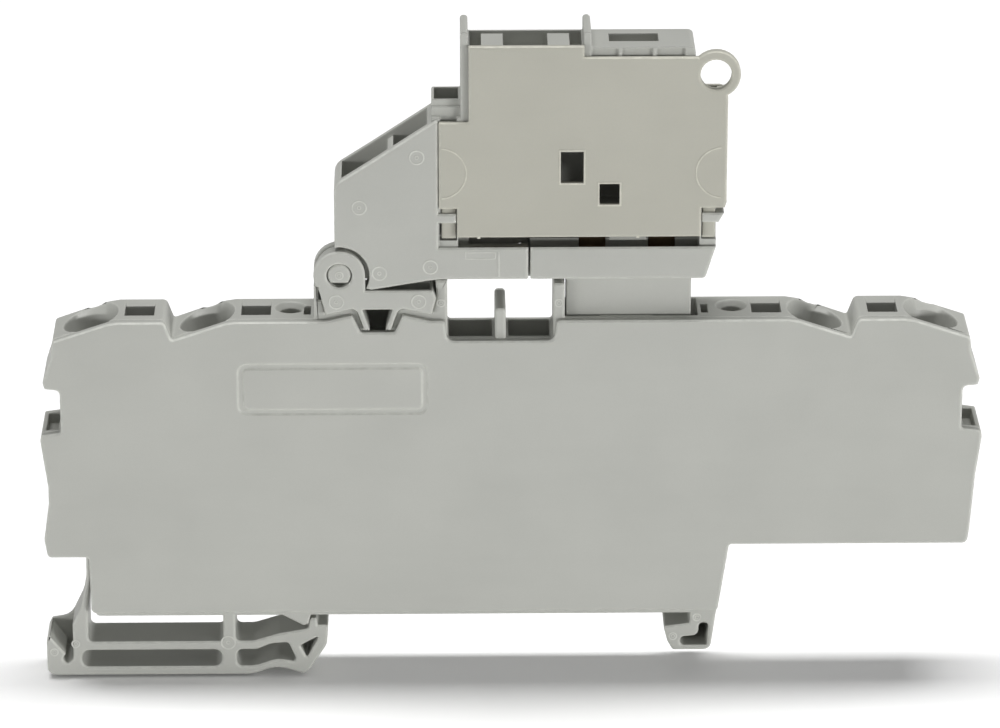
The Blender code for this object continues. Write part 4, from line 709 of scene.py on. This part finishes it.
def add_floor():
    """A pale floor: white to the camera, with the block's shadow on it."""
    bpy.ops.object.select_all(action="DESELECT")
    bpy.ops.mesh.primitive_plane_add(
        size=FLOOR_WIDTH, location=(0, 0, cad_box[0].z - FLOOR_GAP * MM)
    )
    floor = bpy.context.active_object
    floor.name = "floor"
    made = bpy.data.materials.new("pale_floor")
    made.use_nodes = True
    tree = made.node_tree
    tree.nodes.clear()
    paths = tree.nodes.new("ShaderNodeLightPath")
    matt = tree.nodes.new("ShaderNodeBsdfDiffuse")
    matt.inputs["Color"].default_value = (FLOOR_GREY, FLOOR_GREY, FLOOR_GREY, 1)
    seen = tree.nodes.new("ShaderNodeBsdfDiffuse")
    seen.inputs["Color"].default_value = (FLOOR_SEEN, FLOOR_SEEN, FLOOR_SEEN, 1)
    blend = tree.nodes.new("ShaderNodeMixShader")
    output = tree.nodes.new("ShaderNodeOutputMaterial")
    tree.links.new(paths.outputs["Is Camera Ray"], blend.inputs["Fac"])
    tree.links.new(matt.outputs["BSDF"], blend.inputs[1])
    tree.links.new(seen.outputs["BSDF"], blend.inputs[2])
    tree.links.new(blend.outputs["Shader"], output.inputs["Surface"])
    floor.data.materials.append(made)


def add_lamp(name, place_and_size, power):
    """A rectangular lamp that shines at the middle of the block."""
    place, size = place_and_size
    lamp = bpy.data.lights.new(name, "AREA")
    lamp.shape = "RECTANGLE"
    lamp.size, lamp.size_y = size
    lamp.energy = power
    holder = bpy.data.objects.new(name, lamp)
    bpy.context.scene.collection.objects.link(holder)
    holder.location = place
    holder.rotation_euler = (Vector(LAMP_AIM) - Vector(place)).to_track_quat("-Z", "Y").to_euler()


def add_light():
    """A dim white room, a wide lamp overhead and one low at each side in front."""
    world = bpy.context.scene.world or bpy.data.worlds.new("studio")
    bpy.context.scene.world = world
    world.use_nodes = True
    tree = world.node_tree
    tree.nodes.clear()
    paths = tree.nodes.new("ShaderNodeLightPath")
    seen = tree.nodes.new("ShaderNodeMath")
    seen.operation = "MAXIMUM"
    tree.links.new(paths.outputs["Is Camera Ray"], seen.inputs[0])
    tree.links.new(paths.outputs["Is Transmission Ray"], seen.inputs[1])
    room = tree.nodes.new("ShaderNodeBackground")
    room.inputs["Color"].default_value = (1, 1, 1, 1)
    room.inputs["Strength"].default_value = ROOM_LIGHT
    backdrop = tree.nodes.new("ShaderNodeBackground")
    backdrop.inputs["Color"].default_value = (1, 1, 1, 1)
    backdrop.inputs["Strength"].default_value = 1.0
    blend = tree.nodes.new("ShaderNodeMixShader")
    output = tree.nodes.new("ShaderNodeOutputWorld")
    tree.links.new(seen.outputs["Value"], blend.inputs["Fac"])
    tree.links.new(room.outputs["Background"], blend.inputs[1])
    tree.links.new(backdrop.outputs["Background"], blend.inputs[2])
    tree.links.new(blend.outputs["Shader"], output.inputs["Surface"])
    add_lamp("top_softbox", TOP_LAMP, TOP_POWER)
    add_lamp("left_softbox", LEFT_LAMP, LEFT_POWER)
    add_lamp("right_softbox", RIGHT_LAMP, RIGHT_POWER)


def add_camera():
    """The camera at the photograph's angle and distance."""
    camera = bpy.data.objects.new("camera", bpy.data.cameras.new("camera"))
    bpy.context.scene.collection.objects.link(camera)
    camera.data.sensor_width = SENSOR_WIDTH
    camera.data.lens = FOCAL_PIXELS * SENSOR_WIDTH / PICTURE_WIDTH
    level = math.cos(CAMERA_TILT)
    back = Vector((
        math.sin(CAMERA_YAW) * level, -math.cos(CAMERA_YAW) * level, math.sin(CAMERA_TILT)
    ))
    camera.location = (Vector(CAMERA_TARGET) + back * CAMERA_DISTANCE) * MM
    camera.rotation_mode = "QUATERNION"
    camera.rotation_quaternion = back.to_track_quat("Z", "Y")
    camera.data.clip_start = NEAREST_SEEN * MM
    camera.data.clip_end = FARTHEST_SEEN * MM
    bpy.context.scene.camera = camera


# Everything together

grey = (housing_grey, housing_edge)
moulded_copy(
    "base_housing", "base_moulding", EDGE_CHAMFER, grey, "base", open_tool_slots
)
moulded_copy("end_plate", "end_plate_moulding", EDGE_CHAMFER, grey, "base")
moulded_copy("hinge_bracket", "hinge_bracket_moulding", THIN_EDGE_CHAMFER, grey, "base")
moulded_copy(
    "holder_housing", "holder_moulding", EDGE_CHAMFER, grey, "holder", set_back_boss
)
moulded_copy(
    "plug_housing", "plug_moulding", EDGE_CHAMFER, grey, "holder", deepen_trough
)
yellower = (cover_grey, cover_edge)
moulded_copy("fuse_cover", "cover_moulding", THIN_EDGE_CHAMFER, yellower, "cover")

ejector_marks("holder_pin_marks", HOLDER_MARKS, HOLDER_FRONT_Y, WIDE_MARK, "holder")
ejector_marks("pivot_pin_mark", (PIVOT,), HOLDER_FRONT_Y + PIN_FACE_SINK, NARROW_MARK, "holder")
ejector_marks("bracket_pin_marks", BRACKET_MARKS, BRACKET_FRONT_Y, WIDE_MARK, "base")
ejector_marks("post_pin_marks", POST_MARKS, BASE_FRONT_Y, NARROW_MARK, "base")
ejector_marks("foot_pin_mark", (FOOT_MARK,), BASE_FRONT_Y, WIDE_MARK, "base")
ejector_marks("hook_pin_marks", HOOK_MARKS, BASE_FRONT_Y, NARROW_MARK, "base")
thumb_line("cover_thumb_line_left", THUMB_LEFT_X, 1)
thumb_line("cover_thumb_line_right", THUMB_RIGHT_X, -1)
window_rims()
gate_marks()
cover_nubs()

# The inner pieces keep their own solids and only get a finish
INNER_FINISHES = {
    "busbar_left": busbar_tin,
    "busbar_right": busbar_tin,
    "jaw_contact_left": contact_brass,
    "jaw_contact_right": contact_brass,
    "clamp_spring_left_outer": spring_steel,
    "clamp_spring_left_inner": spring_steel,
    "clamp_spring_right_outer": spring_steel,
    "clamp_spring_right_inner": spring_steel,
    "fuse_contact_left": contact_brass,
    "fuse_contact_right": contact_brass,
    "fuse_cap_left": cap_nickel,
    "fuse_cap_right": cap_nickel,
    "fuse_wire": fuse_wire_tin,
    "fuse_glass_tube": tube_glass,
}
for name, finish in INNER_FINISHES.items():
    nodes[name].data.materials.clear()
    nodes[name].data.materials.append(finish)

add_floor()
add_light()
add_camera()

bpy.context.scene.view_settings.view_transform = "Standard"
bpy.context.view_layer.update()
